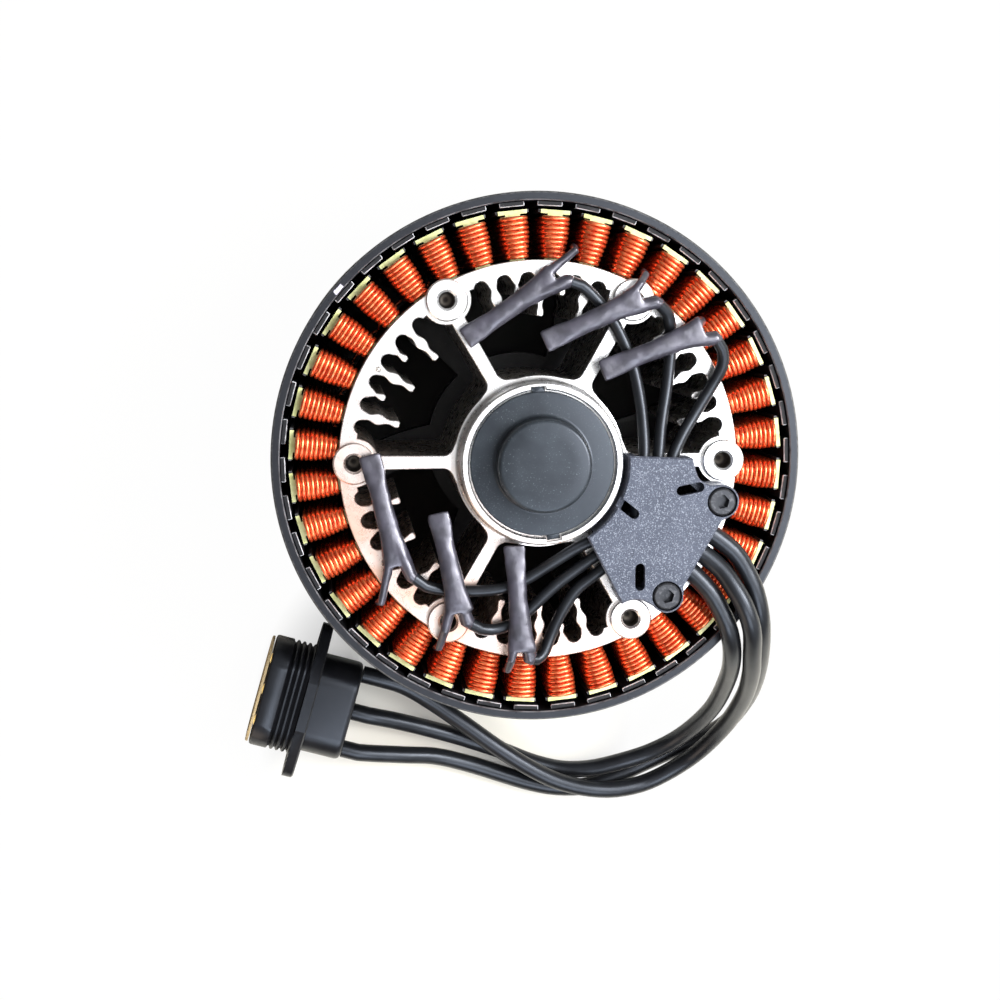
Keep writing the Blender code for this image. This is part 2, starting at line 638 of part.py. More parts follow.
def bearing(label, bottom):
    """Ball bearing: outer race, inner race, and the balls in their cage."""
    top = bottom + BEARING_WIDTH
    outer_bore = BEARING_OUTER_RADIUS - BEARING_RACE_THICKNESS
    inner_bore = SHAFT_RADIUS + FIT
    inner_land = inner_bore + BEARING_RACE_THICKNESS
    turned(label + "_bearing_outer_race", "steel",
           [(outer_bore, bottom), (BEARING_OUTER_RADIUS, bottom),
            (BEARING_OUTER_RADIUS, top), (outer_bore, top)], 18)
    turned(label + "_bearing_inner_race", "steel",
           [(inner_bore, bottom), (inner_land, bottom), (inner_land, top),
            (inner_bore, top)], 16)
    middle = (outer_bore + inner_land) / 2
    ball_radius = (outer_bore - inner_land) / 2 - FIT
    centre = bottom + BEARING_WIDTH / 2
    cage = turned(label + "_bearing_balls", "steel",
                  [(middle - 0.0005, centre - 0.0006), (middle + 0.0005, centre - 0.0006),
                   (middle + 0.0005, centre + 0.0006), (middle - 0.0005, centre + 0.0006)],
                  2 * BEARING_BALL_COUNT)
    bm = bmesh.new()
    for k in range(BEARING_BALL_COUNT):
        place = polar(middle, k * 360.0 / BEARING_BALL_COUNT)
        bmesh.ops.create_uvsphere(bm, u_segments=6, v_segments=3, radius=ball_radius,
                                  matrix=Matrix.Translation((place.x, place.y, centre)))
    combine(cage, object_from(bm, "balls", "steel"), "UNION")


def fin_side(angle, side, tip_radius, width):
    """One side of a tapered cooling fin, from its root to its tip."""
    root = FINGER_SLOT_END_RADIUS - FINGER_SLOT_RADIUS - FIN_ROOT_DEPTH
    half = side * width / 2
    return [beside(root, angle, half), beside(tip_radius, angle, half * (1 - FIN_TAPER))]


def half_window(screw_side):
    """Half of a carrier window's outline, from its middle fin round to the hub."""
    half_spoke = 180.0 / SPOKE_COUNT
    slot_centre = FINGER_SLOT_END_RADIUS - FINGER_SLOT_RADIUS
    points = list(reversed(fin_side(0.0, 1, FIN_TIP_RADIUS_LONG, FIN_WIDTH_LONG)))
    fins = ((1, FIN_TIP_RADIUS_SHORT, FIN_WIDTH_SHORT),
            (2, FIN_TIP_RADIUS_LONG, FIN_WIDTH_LONG))
    for number, tip, width in fins:
        slot = (number - 0.5) * FIN_PITCH
        points += arc(polar(slot_centre, slot), FINGER_SLOT_RADIUS,
                      slot - 60, slot + 60, 1)
        if number == 2 and screw_side:
            break
        angle = number * FIN_PITCH
        points += fin_side(angle, -1, tip, width)
        points += reversed(fin_side(angle, 1, tip, width))
    if screw_side:
        screw = polar(Vector(SCREW_PLACES[0]).length, SCREW_WINDOW_ANGLE)
        points += arc(screw, SCREW_PAD_RADIUS, SCREW_WINDOW_ANGLE + 217,
                      SCREW_WINDOW_ANGLE + 147, 2)
    else:
        slot = 2.5 * FIN_PITCH
        points += arc(polar(slot_centre, slot), FINGER_SLOT_RADIUS,
                      slot - 60, slot + 70, 1)
    boss = polar(BOSS_CIRCLE_RADIUS, half_spoke)
    start = 240.0 if screw_side else 262.0
    points += arc(boss, BOSS_CLEAR_RADIUS, half_spoke - 360 + start,
                  half_spoke - 360 + 197.0, 1)
    fillet_radius = HUB_BASE_RADIUS + SPOKE_FILLET
    half_width = SPOKE_WIDTH / 2
    centre = beside(fillet_radius, half_spoke, -half_width - SPOKE_FILLET)
    points += arc(centre, SPOKE_FILLET, half_spoke + 90, half_spoke + 165, 1)
    points.append(polar(HUB_BASE_RADIUS, half_spoke * 0.42))
    return points


def window_outline(number):
    """Carrier window between two spokes, with finger slots between its fins."""
    middle = (number + 0.5) * 360.0 / SPOKE_COUNT
    screwed = number == SPOKE_COUNT - 1
    half = half_window(screwed)
    mirrored = [Vector((p.x, -p.y)) for p in half]
    turn = Matrix.Rotation(math.radians(middle), 2)
    return [turn @ p for p in half + list(reversed(mirrored))]


def stator_carrier():
    """Machined carrier: hub, spokes, finned rim, flange, bosses and bores."""
    windows = [window_outline(k) for k in range(SPOKE_COUNT)]
    hub_hole = circle((0, 0), (HUB_RADIUS + CAP_SEAT_RADIUS) / 2 - 0.001, 16)
    flange = circle((0, 0), CARRIER_FLANGE_RADIUS, RIM_SEGMENTS)
    carrier = slab("stator_carrier", "aluminium", flange, CARRIER_BOTTOM,
                   CARRIER_TOP, windows + [hub_hole])
    wide = CARRIER_FLANGE_RADIUS + 0.002
    low = CARRIER_BOTTOM - 0.001
    seat = turned("seat", "aluminium",
                  [(CARRIER_BODY_RADIUS, low), (wide, low), (wide, FLANGE_BOTTOM),
                   (CARRIER_BODY_RADIUS, FLANGE_BOTTOM)], RIM_SEGMENTS)
    combine(carrier, seat, "DIFFERENCE")
    shoulder = BEARING_SEAT_RADIUS - BEARING_SHOULDER_DEPTH
    hub = turned("hub", "aluminium",
                 [(BEARING_SEAT_RADIUS, HUB_BOTTOM), (HUB_RADIUS, HUB_BOTTOM),
                  (HUB_RADIUS, HUB_TOP), (CAP_SEAT_RADIUS, HUB_TOP),
                  (CAP_SEAT_RADIUS, CAP_SEAT_HEIGHT),
                  (BEARING_SEAT_RADIUS, CAP_SEAT_HEIGHT),
                  (BEARING_SEAT_RADIUS, SHOULDER_TOP), (shoulder, SHOULDER_TOP),
                  (shoulder, SHOULDER_BOTTOM), (BEARING_SEAT_RADIUS, SHOULDER_BOTTOM)],
                 HUB_SEGMENTS)
    combine(carrier, hub, "UNION")
    for k in range(SPOKE_COUNT):
        place = polar(BOSS_CIRCLE_RADIUS, k * 360.0 / SPOKE_COUNT)
        boss = slab("boss", "aluminium", circle(place, BOSS_RADIUS, 8, 22.5),
                    CARRIER_TOP - 0.0004, CARRIER_TOP + BOSS_RISE)
        combine(carrier, boss, "UNION")
    top = CARRIER_TOP + BOSS_RISE
    drills = [(polar(BOSS_CIRCLE_RADIUS, k * 360.0 / SPOKE_COUNT), BOSS_HOLE_RADIUS,
               top - BOSS_HOLE_DEPTH) for k in range(SPOKE_COUNT)]
    drills += [(Vector(place), SCREW_SHANK_RADIUS + FIT,
                CARRIER_TOP - SCREW_ENGAGEMENT - FIT) for place in SCREW_PLACES]
    drills.append((polar(PIN_HOLE_CIRCLE_RADIUS, PIN_HOLE_ANGLE), PIN_HOLE_RADIUS,
                   CARRIER_TOP - 0.002))
    for place, radius, floor in drills:
        drill = slab("drill", "aluminium", circle(place, radius, 8), floor, top + 0.002)
        combine(carrier, drill, "DIFFERENCE")
    for angle in CAP_TAB_ANGLES:
        notch = slab("notch", "aluminium",
                     notch_outline(angle, CAP_TAB_WIDTH + 2 * FIT,
                                   CAP_SEAT_RADIUS + CAP_TAB_REACH + FIT),
                     CAP_SEAT_HEIGHT + 0.0003, HUB_TOP + 0.002)
        combine(carrier, notch, "DIFFERENCE")
    return carrier


def notch_outline(angle, width, reach):
    """Rectangle that reaches outward from inside the hub ring."""
    inner = CAP_SEAT_RADIUS - 0.0012
    return [beside(inner, angle, -width / 2), beside(reach, angle, -width / 2),
            beside(reach, angle, width / 2), beside(inner, angle, width / 2)]


def hub_cap():
    """Plastic cap with a raised button that covers the shaft's end."""
    bottom = CAP_SEAT_HEIGHT + FIT
    flange_top = bottom + CAP_FLANGE_THICKNESS
    rim = CAP_SEAT_RADIUS - FIT
    cavity = CAP_BUTTON_RADIUS - CAP_WALL
    cap = turned("hub_cap", "dark_plastic",
                 [(cavity, bottom), (rim, bottom), (rim, flange_top),
                  (CAP_BUTTON_RADIUS + 0.0007, flange_top),
                  (CAP_BUTTON_RADIUS, flange_top + 0.0007),
                  (CAP_BUTTON_RADIUS, CAP_BUTTON_TOP - CAP_BUTTON_BEVEL),
                  (CAP_BUTTON_RADIUS - CAP_BUTTON_BEVEL, CAP_BUTTON_TOP),
                  (0.0, CAP_BUTTON_TOP), (0.0, CAP_BUTTON_TOP - CAP_WALL),
                  (cavity, CAP_BUTTON_TOP - CAP_WALL)], HUB_SEGMENTS)
    for angle in CAP_TAB_ANGLES:
        tab = slab("tab", "dark_plastic",
                   notch_outline(angle, CAP_TAB_WIDTH, CAP_SEAT_RADIUS + CAP_TAB_REACH),
                   bottom + FIT, flange_top - 0.0002)
        combine(cap, tab, "UNION")
    return cap


def cover_outline():
    """Outline of the clamp cover, counterclockwise from the hub side."""
    hub_arc = HUB_RADIUS + COVER_HUB_CLEARANCE
    first, second = SCREW_PLACES
    low_boss = polar(BOSS_CIRCLE_RADIUS, -360.0 / SPOKE_COUNT)
    edge_reach = COVER_LOBE_RADIUS * 0.56
    away = CABLE_DIRECTION.xy * edge_reach
    along = CABLE_SIDE.xy
    outline = arc((0, 0), hub_arc, COVER_HUB_ARC[1], COVER_HUB_ARC[0], 8)
    outline += arc(low_boss, BOSS_CLEAR_RADIUS, 124, 70, 3)
    outline += arc(second, COVER_LOBE_RADIUS, 215, 345, 5)
    outline.append(Vector(second) + away + along * 0.0034)
    outline.append(Vector(first) + away - along * 0.0034)
    outline += arc(first, COVER_LOBE_RADIUS, -50, 80, 5)
    outline += [Vector((0.0334, -0.0044)), Vector((0.0307, -0.0030)),
                Vector((0.0297, 0.0010))]
    return outline


def clamp_cover():
    """Moulded cover that holds the leads and cables down, open below."""
    cover = slab("clamp_cover", "grey_plastic", cover_outline(), COVER_BOTTOM, COVER_TOP)
    hub_wall = HUB_RADIUS + COVER_HUB_CLEARANCE + COVER_WALL
    cavity = arc((0, 0), hub_wall, -1.5, -58, 6)
    cavity += [Vector(p) for p in COVER_CAVITY]
    low = COVER_BOTTOM - 0.001
    cuts = [cavity, COVER_TOP_MOUTH, COVER_LOW_MOUTH]
    across = CABLE_SIDE * (CABLE_SPACING + CABLE_RADIUS + 0.0006)
    exit_place = Vector((*CABLE_EXIT, 0.0))
    inward = exit_place - CABLE_DIRECTION * 0.007
    outward = exit_place + CABLE_DIRECTION * 0.006
    cuts.append([inward - across, outward - across, outward + across, inward + across])
    for outline in cuts:
        cutter = slab("cut", "grey_plastic", [Vector(p).xy for p in outline],
                      low, COVER_UNDERSIDE)
        combine(cover, cutter, "DIFFERENCE")
    for start, end in COVER_SLOTS:
        a = Vector(start)
        b = Vector(end)
        heading = math.degrees(math.atan2(b.y - a.y, b.x - a.x))
        outline = arc(b, COVER_SLOT_WIDTH / 2, heading - 90, heading + 90, 4)
        outline += arc(a, COVER_SLOT_WIDTH / 2, heading + 90, heading + 270, 4)
        cutter = slab("slot", "grey_plastic", outline, COVER_UNDERSIDE - 0.001,
                      COVER_TOP + 0.001)
        combine(cover, cutter, "DIFFERENCE")
    for place in SCREW_PLACES:
        seat = COVER_TOP - SCREW_HEAD_HEIGHT - FIT
        for radius, floor in ((SCREW_SHANK_RADIUS + FIT, low),
                              (SCREW_HEAD_RADIUS + FIT, seat)):
            cutter = slab("bore", "grey_plastic", circle(place, radius, 12), floor,
                          COVER_TOP + 0.001)
            combine(cover, cutter, "DIFFERENCE")
    return cover


def clamp_screw(name, place):
    """Socket head screw that holds the cover to the carrier."""
    head_bottom = COVER_TOP - SCREW_HEAD_HEIGHT
    foot = CARRIER_TOP - SCREW_ENGAGEMENT
    screw = turned(name, "black_oxide",
                   [(0.0, foot), (SCREW_SHANK_RADIUS, foot),
                    (SCREW_SHANK_RADIUS, head_bottom), (SCREW_HEAD_RADIUS, head_bottom),
                    (SCREW_HEAD_RADIUS, COVER_TOP - 0.0003),
                    (SCREW_HEAD_RADIUS - 0.0003, COVER_TOP), (0.0, COVER_TOP)], 12)
    socket = slab("socket", "black_oxide", circle((0, 0), SCREW_SOCKET_RADIUS, 6),
                  COVER_TOP - SCREW_SOCKET_DEPTH, COVER_TOP + 0.001)
    combine(screw, socket, "DIFFERENCE")
    screw.location = (place[0], place[1], 0.0)
    return screw


def flat_ring(centre, forward, half_width, half_height, count=8):
    """Rounded section of a splice, square to its direction."""
    forward = forward.normalized()
    side = Vector((0, 0, 1)).cross(forward).normalized()
    up = forward.cross(side)
    return [centre + side * half_width * math.cos(a) + up * half_height * math.sin(a)
            for a in (2 * math.pi * i / count for i in range(count))]


# Each splice: closed end, flare, height, and the winding slot that its tail goes into
SPLICES = (
    ((-0.0151, 0.0245), (0.0026, 0.0365), 0.0498, 81.0),
    ((0.0003, 0.0239), (0.0196, 0.0325), 0.0518, 61.0),
    ((0.0117, 0.0182), (0.0319, 0.0262), 0.0518, 41.0),
    ((-0.0340, 0.0019), (-0.0284, -0.0202), 0.0506, 221.0),
    ((-0.0207, -0.0095), (-0.0164, -0.0296), 0.0518, 241.0),
    ((-0.0056, -0.0162), (-0.0040, -0.0377), 0.0518, 261.0),
)
SPLICE_HALF_WIDTH = 0.0018
SPLICE_HALF_HEIGHT = 0.0012
SPLICE_FLARE_HALF_WIDTH = 0.0027
TAIL_SLOT_RADIUS = 0.0432
TAIL_ELBOW = (0.0423, 0.0500)   # radius and height where a tail turns down
TAIL_TIP_RADIUS = 0.0005
TAIL_TIP_HEIGHT = 0.0453


def splice(number, closed, flare, height, slot_angle):
    """Heat-shrink sleeve: flat closed end, flared mouth and a tail to the winding."""
    start = Vector((*closed, height))
    end = Vector((*flare, height))
    forward = end - start
    bm = bmesh.new()
    stations = ((0.0, 0.95, 0.35), (0.10, 1.0, 0.45), (0.30, 1.0, 0.95), (0.62, 1.05, 1.0),
                (0.86, 1.25, 1.05), (1.0, SPLICE_FLARE_HALF_WIDTH / SPLICE_HALF_WIDTH, 1.0))
    loft(bm, [flat_ring(start.lerp(end, t), forward, SPLICE_HALF_WIDTH * w,
                        SPLICE_HALF_HEIGHT * h) for t, w, h in stations])
    body = object_from(bm, "splice_" + str(number), "heat_shrink")
    elbow = Vector((*polar(TAIL_ELBOW[0], slot_angle), TAIL_ELBOW[1]))
    tip = Vector((*polar(TAIL_SLOT_RADIUS, slot_angle), TAIL_TIP_HEIGHT))
    side = Vector((0, 0, 1)).cross(forward).normalized()
    outward = 1.0 if side.dot(tip - end) > 0 else -1.0
    root = start.lerp(end, 0.86) + side * outward * 0.0011
    middle = root.lerp(elbow, 0.55)
    middle.z = height
    bm = bmesh.new()
    rings = []
    for centre, along, radius in ((root, middle - root, 0.0009),
                                  (middle, elbow - root, 0.0008),
                                  (elbow, tip - middle, 0.0006),
                                  (tip, tip - elbow, TAIL_TIP_RADIUS)):
        rings.append(flat_ring(centre, along, radius, radius, 6))
    loft(bm, rings)
    combine(body, object_from(bm, "tail", "heat_shrink"), "UNION")
    return body


def crimp_axis(number):
    """Middle of a cable's exit at the cover's edge."""
    offset = CABLE_SPACING * (1 - number)
    return Vector((*CABLE_EXIT, CABLE_HEIGHT)) + CABLE_SIDE * offset


def crimp(number):
    """Insulated crimp sleeve that joins two leads to one cable inside the cover."""
    end = crimp_axis(number) - CABLE_DIRECTION * CRIMP_SETBACK
    start = end - CABLE_DIRECTION * CRIMP_LENGTH
    bm = bmesh.new()
    rings = []
    for place, radius in ((start, CRIMP_RADIUS), (start.lerp(end, 0.3), CRIMP_RADIUS),
                          (start.lerp(end, 0.4), CRIMP_RADIUS * 0.86),
                          (start.lerp(end, 0.6), CRIMP_RADIUS * 0.86),
                          (start.lerp(end, 0.7), CRIMP_RADIUS), (end, CRIMP_RADIUS)):
        rings.append(flat_ring(place, CABLE_DIRECTION, radius, radius, 8))
    loft(bm, rings)
    return object_from(bm, "crimp_" + "abc"[number], "heat_shrink")


# Route points of the six leads, from the splice's mouth to the cover, in millimetres
LEAD_ROUTES = (
    ((5.3, 35.8, 49.8), (8.0, 34.9, 49.5), (11.2, 31.9, 49.1), (14.7, 27.4, 48.9),
     (18.0, 20.2, 48.9), (19.7, 13.0, 49.4), (20.3, 6.5, 50.6), (20.3, 1.0, 51.5),
     (19.3, -4.5, 51.55), (18.9, -9.0, 51.55), (19.1, -13.0, 51.55), (20.2, -15.9, 51.55)),
    ((22.6, 31.7, 51.4), (24.6, 30.0, 50.4), (25.7, 27.4, 49.2), (26.0, 23.0, 48.8),
     (25.2, 15.0, 49.2), (23.9, 7.5, 50.5), (23.2, 1.0, 51.5), (22.2, -4.0, 51.55),
     (21.7, -8.5, 51.55), (22.2, -11.6, 51.55)),
    ((34.5, 24.6, 51.3), (36.0, 22.4, 50.6), (36.3, 19.2, 50.0), (34.4, 15.4, 49.6),
     (31.2, 10.2, 49.8), (28.2, 5.4, 50.7), (26.1, 1.0, 51.5), (25.1, -3.5, 51.55),
     (24.7, -6.6, 51.55)),
    ((-26.0, -22.2, 50.4), (-23.2, -24.4, 49.8), (-19.4, -25.4, 49.1), (-14.6, -25.8, 48.9),
     (-8.0, -25.4, 48.9), (-3.0, -23.6, 48.9), (2.0, -20.6, 48.9), (7.0, -17.6, 48.9),
     (12.9, -14.6, 48.85), (17.4, -11.3, 48.85), (21.2, -9.2, 48.85)),
    ((-14.8, -31.6, 51.2), (-12.2, -33.2, 50.2), (-9.2, -33.6, 49.2), (-5.4, -32.4, 48.9),
     (-1.6, -29.2, 48.9), (3.4, -24.6, 48.9), (8.9, -20.6, 48.9), (13.4, -17.5, 48.85),
     (17.2, -14.8, 48.85), (20.4, -13.2, 48.85)),
    ((-2.2, -39.4, 51.0), (-0.9, -39.7, 50.4), (0.6, -38.6, 49.6), (2.2, -35.0, 48.9),
     (4.2, -30.6, 48.9), (7.2, -26.0, 48.9), (10.9, -23.0, 48.9), (14.4, -20.2, 48.85),
     (17.8, -17.9, 48.85)),
)
# Which crimp takes each lead, and whether it enters above or below
LEAD_ENDS = ((2, 1), (1, 1), (0, 1), (0, -1), (1, -1), (2, -1))


def lead(number):
    """Lead from a splice to its crimp."""
    crimp_number, level = LEAD_ENDS[number]
    mouth = crimp_axis(crimp_number) - CABLE_DIRECTION * (CRIMP_SETBACK + CRIMP_LENGTH + FIT)
    mouth = mouth + Vector((0, 0, level * LEAD_STACK_OFFSET))
    approach = mouth - CABLE_DIRECTION * LEAD_STRAIGHT
    points = [Vector(p) * 0.001 for p in LEAD_ROUTES[number]]
    return wire("lead_" + str(number + 1), "silicone", points + [approach, mouth],
                LEAD_RADIUS, 0.0046, 1)


# Route points of the three phase cables past the cover's edge, in millimetres
CABLE_ROUTES = (
    ((39.0, -18.2, 49.9), (41.6, -21.9, 49.4), (43.9, -26.7, 49.1), (45.6, -33.0, 47.5),
     (47.4, -40.5, 40.8), (49.2, -48.6, 30.2), (50.1, -57.0, 17.4), (47.8, -64.6, 8.4),
     (42.6, -69.6, 3.4), (36.1, -72.8, 2.0), (29.1, -75.8, 2.0), (22.7, -78.6, 2.0),
     (16.2, -80.6, 2.0), (9.4, -80.6, 2.0), (3.2, -79.3, 2.0), (-3.2, -77.2, 2.0),
     (-10.6, -74.6, 2.2), (-18.5, -72.2, 3.4), (-26.0, -71.0, 5.8)),
    ((36.2, -21.6, 50.9), (38.7, -25.1, 51.9), (41.0, -29.2, 52.4), (42.9, -34.3, 51.2),
     (44.3, -40.6, 46.0), (45.8, -46.6, 39.0), (46.8, -54.1, 28.4), (45.6, -63.7, 15.6),
     (40.3, -72.4, 7.8), (31.6, -78.4, 5.4), (23.8, -80.2, 6.0), (16.7, -79.8, 6.7),
     (9.4, -77.9, 6.8), (2.8, -74.6, 6.8), (-4.6, -69.7, 6.8), (-12.3, -63.9, 6.8),
     (-20.0, -58.3, 6.9), (-26.0, -54.6, 7.4)),
    ((34.2, -26.3, 50.3), (36.9, -30.8, 49.8), (38.8, -35.3, 49.1), (40.5, -41.2, 44.4),
     (41.9, -48.4, 34.2), (41.6, -58.2, 20.6), (37.4, -66.4, 11.0), (31.0, -71.4, 6.6),
     (24.0, -74.0, 5.2), (17.1, -75.9, 3.6), (10.6, -76.2, 2.4), (4.0, -74.6, 2.05),
     (-3.0, -71.7, 2.05), (-12.0, -68.4, 2.3), (-20.0, -65.6, 3.8), (-28.0, -62.8, 6.4)),
)


def connector_point(x, y, z):
    """Point of the connector's own frame, in the part's frame."""
    turn = Matrix.Rotation(math.radians(CONNECTOR_TURN), 3, "Z")
    base = Vector((*CONNECTOR_PLACE, CONNECTOR_AXIS_HEIGHT))
    return base + turn @ Vector((x, y, z))


def connector_back():
    """Distance from the mating face to the back of the connector."""
    ribs = CONNECTOR_RIB_COUNT * CONNECTOR_RIB_PITCH
    return (CONNECTOR_NOSE_LENGTH + ribs + CONNECTOR_FLANGE_THICKNESS
            + CONNECTOR_BACK_LENGTH)


def phase_cable(number):
    """Thick cable from its crimp to the back of the connector."""
    start = crimp_axis(number) - CABLE_DIRECTION * (CRIMP_SETBACK - FIT)
    side = (-OUTLET_SPACING, OUTLET_SPACING, 0.0)[number]
    end = connector_point(connector_back() + FIT, side, 0.0)
    before = connector_point(connector_back() + OUTLET_STRAIGHT, side, 0.0)
    points = [start, crimp_axis(number)]
    points += [Vector(p) * 0.001 for p in CABLE_ROUTES[number]]
    points += [before, end]
    return wire("phase_cable_" + "abc"[number], "silicone", points, CABLE_RADIUS,
                0.0080, 2)


def rounded_section(half_width, half_height, corner, x):
    """Rounded rectangle across the connector at a distance from its face."""
    corner = min(corner, half_height * 0.92, half_width * 0.92)
    points = []
    for sy, sz, start in ((1, 1, 0), (-1, 1, 90), (-1, -1, 180), (1, -1, 270)):
        for i in range(4):
            angle = math.radians(start + 30 * i)
            points.append(Vector((x, sy * (half_width - corner) + corner * math.cos(angle),
                                  sz * (half_height - corner) + corner * math.sin(angle))))
    return points


def in_connector_frame(made):
    """Turn and place a piece built about the connector's own axis."""
    made.rotation_euler = (0.0, 0.0, math.radians(CONNECTOR_TURN))
    made.location = (*CONNECTOR_PLACE, CONNECTOR_AXIS_HEIGHT)
    return made


def connector_loft(name, material, stations):
    """Loft rounded sections along the connector's axis."""
    bm = bmesh.new()
    loft(bm, [rounded_section(w, h, CONNECTOR_CORNER, x) for x, w, h in stations])
    return object_from(bm, name, material)


def connector_flange_outline():
    """Flange seen along the axis: a rhombic oval with an ear at each end."""
    ear = CONNECTOR_FLANGE_HALF_SPAN - CONNECTOR_FLANGE_EAR_RADIUS
    belly = CONNECTOR_HALF_HEIGHT + 0.0007
    outline = arc((ear, 0), CONNECTOR_FLANGE_EAR_RADIUS, -60, 60, 4)
    outline += [Vector((0.0052, belly)), Vector((-0.0052, belly))]
    outline += arc((-ear, 0), CONNECTOR_FLANGE_EAR_RADIUS, 120, 240, 4)
    outline += [Vector((-0.0052, -belly)), Vector((0.0052, -belly))]
    return outline


def connector():
    """Three-way panel connector with ribs, flange, insert, contacts and face seal."""
    half_width = CONNECTOR_HALF_WIDTH
    half_height = CONNECTOR_HALF_HEIGHT
    front = FACE_SEAL_THICKNESS + FIT
    stations = [(front, half_width - 0.0004, half_height - 0.0004),
                (front + 0.0005, half_width, half_height),
                (CONNECTOR_NOSE_LENGTH, half_width, half_height)]
    for k in range(CONNECTOR_RIB_COUNT):
        x = CONNECTOR_NOSE_LENGTH + k * CONNECTOR_RIB_PITCH
        low = CONNECTOR_RIB_DEPTH
        stations += [(x + 0.3 * CONNECTOR_RIB_PITCH, half_width - low, half_height - low),
                     (x + 0.8 * CONNECTOR_RIB_PITCH, half_width, half_height)]
    flange_front = CONNECTOR_NOSE_LENGTH + CONNECTOR_RIB_COUNT * CONNECTOR_RIB_PITCH
    flange_back = flange_front + CONNECTOR_FLANGE_THICKNESS
    back = connector_back()
    stations += [(flange_front + CONNECTOR_FLANGE_THICKNESS / 3, half_width, half_height),
                 (flange_front + CONNECTOR_FLANGE_THICKNESS * 2 / 3,
                  CONNECTOR_BACK_HALF_WIDTH, CONNECTOR_BACK_HALF_HEIGHT),
                 (back - 0.0006, CONNECTOR_BACK_HALF_WIDTH, CONNECTOR_BACK_HALF_HEIGHT),
                 (back, CONNECTOR_BACK_HALF_WIDTH - 0.0006,
                  CONNECTOR_BACK_HALF_HEIGHT - 0.0006)]
    shell = connector_loft("connector_shell", "connector_plastic", stations)
    flange = slab("flange", "connector_plastic", connector_flange_outline(), 0.0,
                  CONNECTOR_FLANGE_THICKNESS)
    ear = CONNECTOR_FLANGE_HALF_SPAN - CONNECTOR_FLANGE_EAR_RADIUS
    for side in (-1, 1):
        hole = slab("hole", "connector_plastic",
                    circle((side * ear, 0), CONNECTOR_EAR_HOLE_RADIUS, 10), -0.001,
                    CONNECTOR_FLANGE_THICKNESS + 0.001)
        combine(flange, hole, "DIFFERENCE")
    standing = Matrix(((0, 0, 1), (1, 0, 0), (0, 1, 0))).to_4x4()
    flange.data.transform(Matrix.Translation((flange_front, 0, 0)) @ standing)
    combine(shell, flange, "UNION")
    wall = CONNECTOR_SOCKET_WALL
    socket = connector_loft("socket", "connector_plastic",
                            [(-0.002, half_width - wall, half_height - wall),
                             (CONNECTOR_SOCKET_DEPTH, half_width - wall,
                              half_height - wall)])
    combine(shell, socket, "DIFFERENCE")
    seal = connector_loft("connector_face_seal", "tan_rubber",
                          [(0.0, half_width - 0.0004, half_height - 0.0004),
                           (FACE_SEAL_THICKNESS, half_width - 0.0004,
                            half_height - 0.0004)])
    hole = connector_loft("hole", "tan_rubber",
                          [(-0.001, half_width - wall, half_height - wall),
                           (FACE_SEAL_THICKNESS + 0.001, half_width - wall,
                            half_height - wall)])
    combine(seal, hole, "DIFFERENCE")
    insert_back = CONNECTOR_SOCKET_DEPTH - FIT
    insert = connector_loft("connector_insert", "connector_plastic",
                            [(insert_back - INSERT_DEPTH, half_width - wall - FIT,
                              half_height - wall - FIT),
                             (insert_back, half_width - wall - FIT,
                              half_height - wall - FIT)])
    contact_back = insert_back - 0.0004
    for k in range(3):
        side = CONTACT_SPACING * (k - 1)
        bore = axial_pin("bore", side, CONTACT_RADIUS + FIT, -0.002,
                         contact_back + FIT)
        combine(insert, bore, "DIFFERENCE")
        pin = axial_pin("contact_" + "abc"[k], side, CONTACT_RADIUS,
                        contact_back - CONTACT_LENGTH, contact_back)
        in_connector_frame(pin)
    for made in (shell, seal, insert):
        in_connector_frame(made)


def axial_pin(name, side, radius, start, end):
    """Round pin along the connector's axis, with a chamfered front."""
    bm = bmesh.new()
    rings = []
    for x, r in ((start, radius * 0.7), (start + radius * 0.3, radius), (end, radius)):
        rings.append([Vector((x, side + p.x, p.y)) for p in circle((0, 0), r, 10)])
    loft(bm, rings)
    return object_from(bm, name, "gold")


stator_core()
end_insulator("front_insulator", FRONT_INSULATOR_BOTTOM, FRONT_INSULATOR_TOP, True)
end_insulator("rear_insulator", REAR_INSULATOR_BOTTOM, REAR_INSULATOR_TOP, False)
for index, letter in enumerate("abc"):
    phase_winding("phase_winding_" + letter, index)
rotor_ring()
rotor_bell()
shaft()
shaft_clip()
bearing("lower", LOWER_BEARING_BOTTOM)
bearing("upper", UPPER_BEARING_BOTTOM)
stator_carrier()
hub_cap()
clamp_cover()
for index, spot in enumerate(SCREW_PLACES):
    clamp_screw("clamp_screw_" + str(index + 1), spot)
for index, facts in enumerate(SPLICES):
    splice(index + 1, *facts)
for index in range(3):
    crimp(index)
for index in range(len(LEAD_ROUTES)):
    lead(index)
for index in range(3):
    phase_cable(index)
connector()
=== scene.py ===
# %% [markdown]
# # An outrunner drone motor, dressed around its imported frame
#
# The motor lies on its propeller pad with its mounting side up. Inside a black steel ring
# with 42 magnets sits a stator of 36 wound teeth on a finned aluminium carrier. Six shrink
# sleeves, a cable clamp and three thick cables with a flanged connector finish it. Everything
# is in metres, and +Z runs along the motor's axis towards the mounting side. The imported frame
# holds plain solids, and each piece drawn here keeps the size and place of the solid it stands
# for.

import math
import random

import bmesh
import bpy
from mathutils import Matrix, Vector, noise


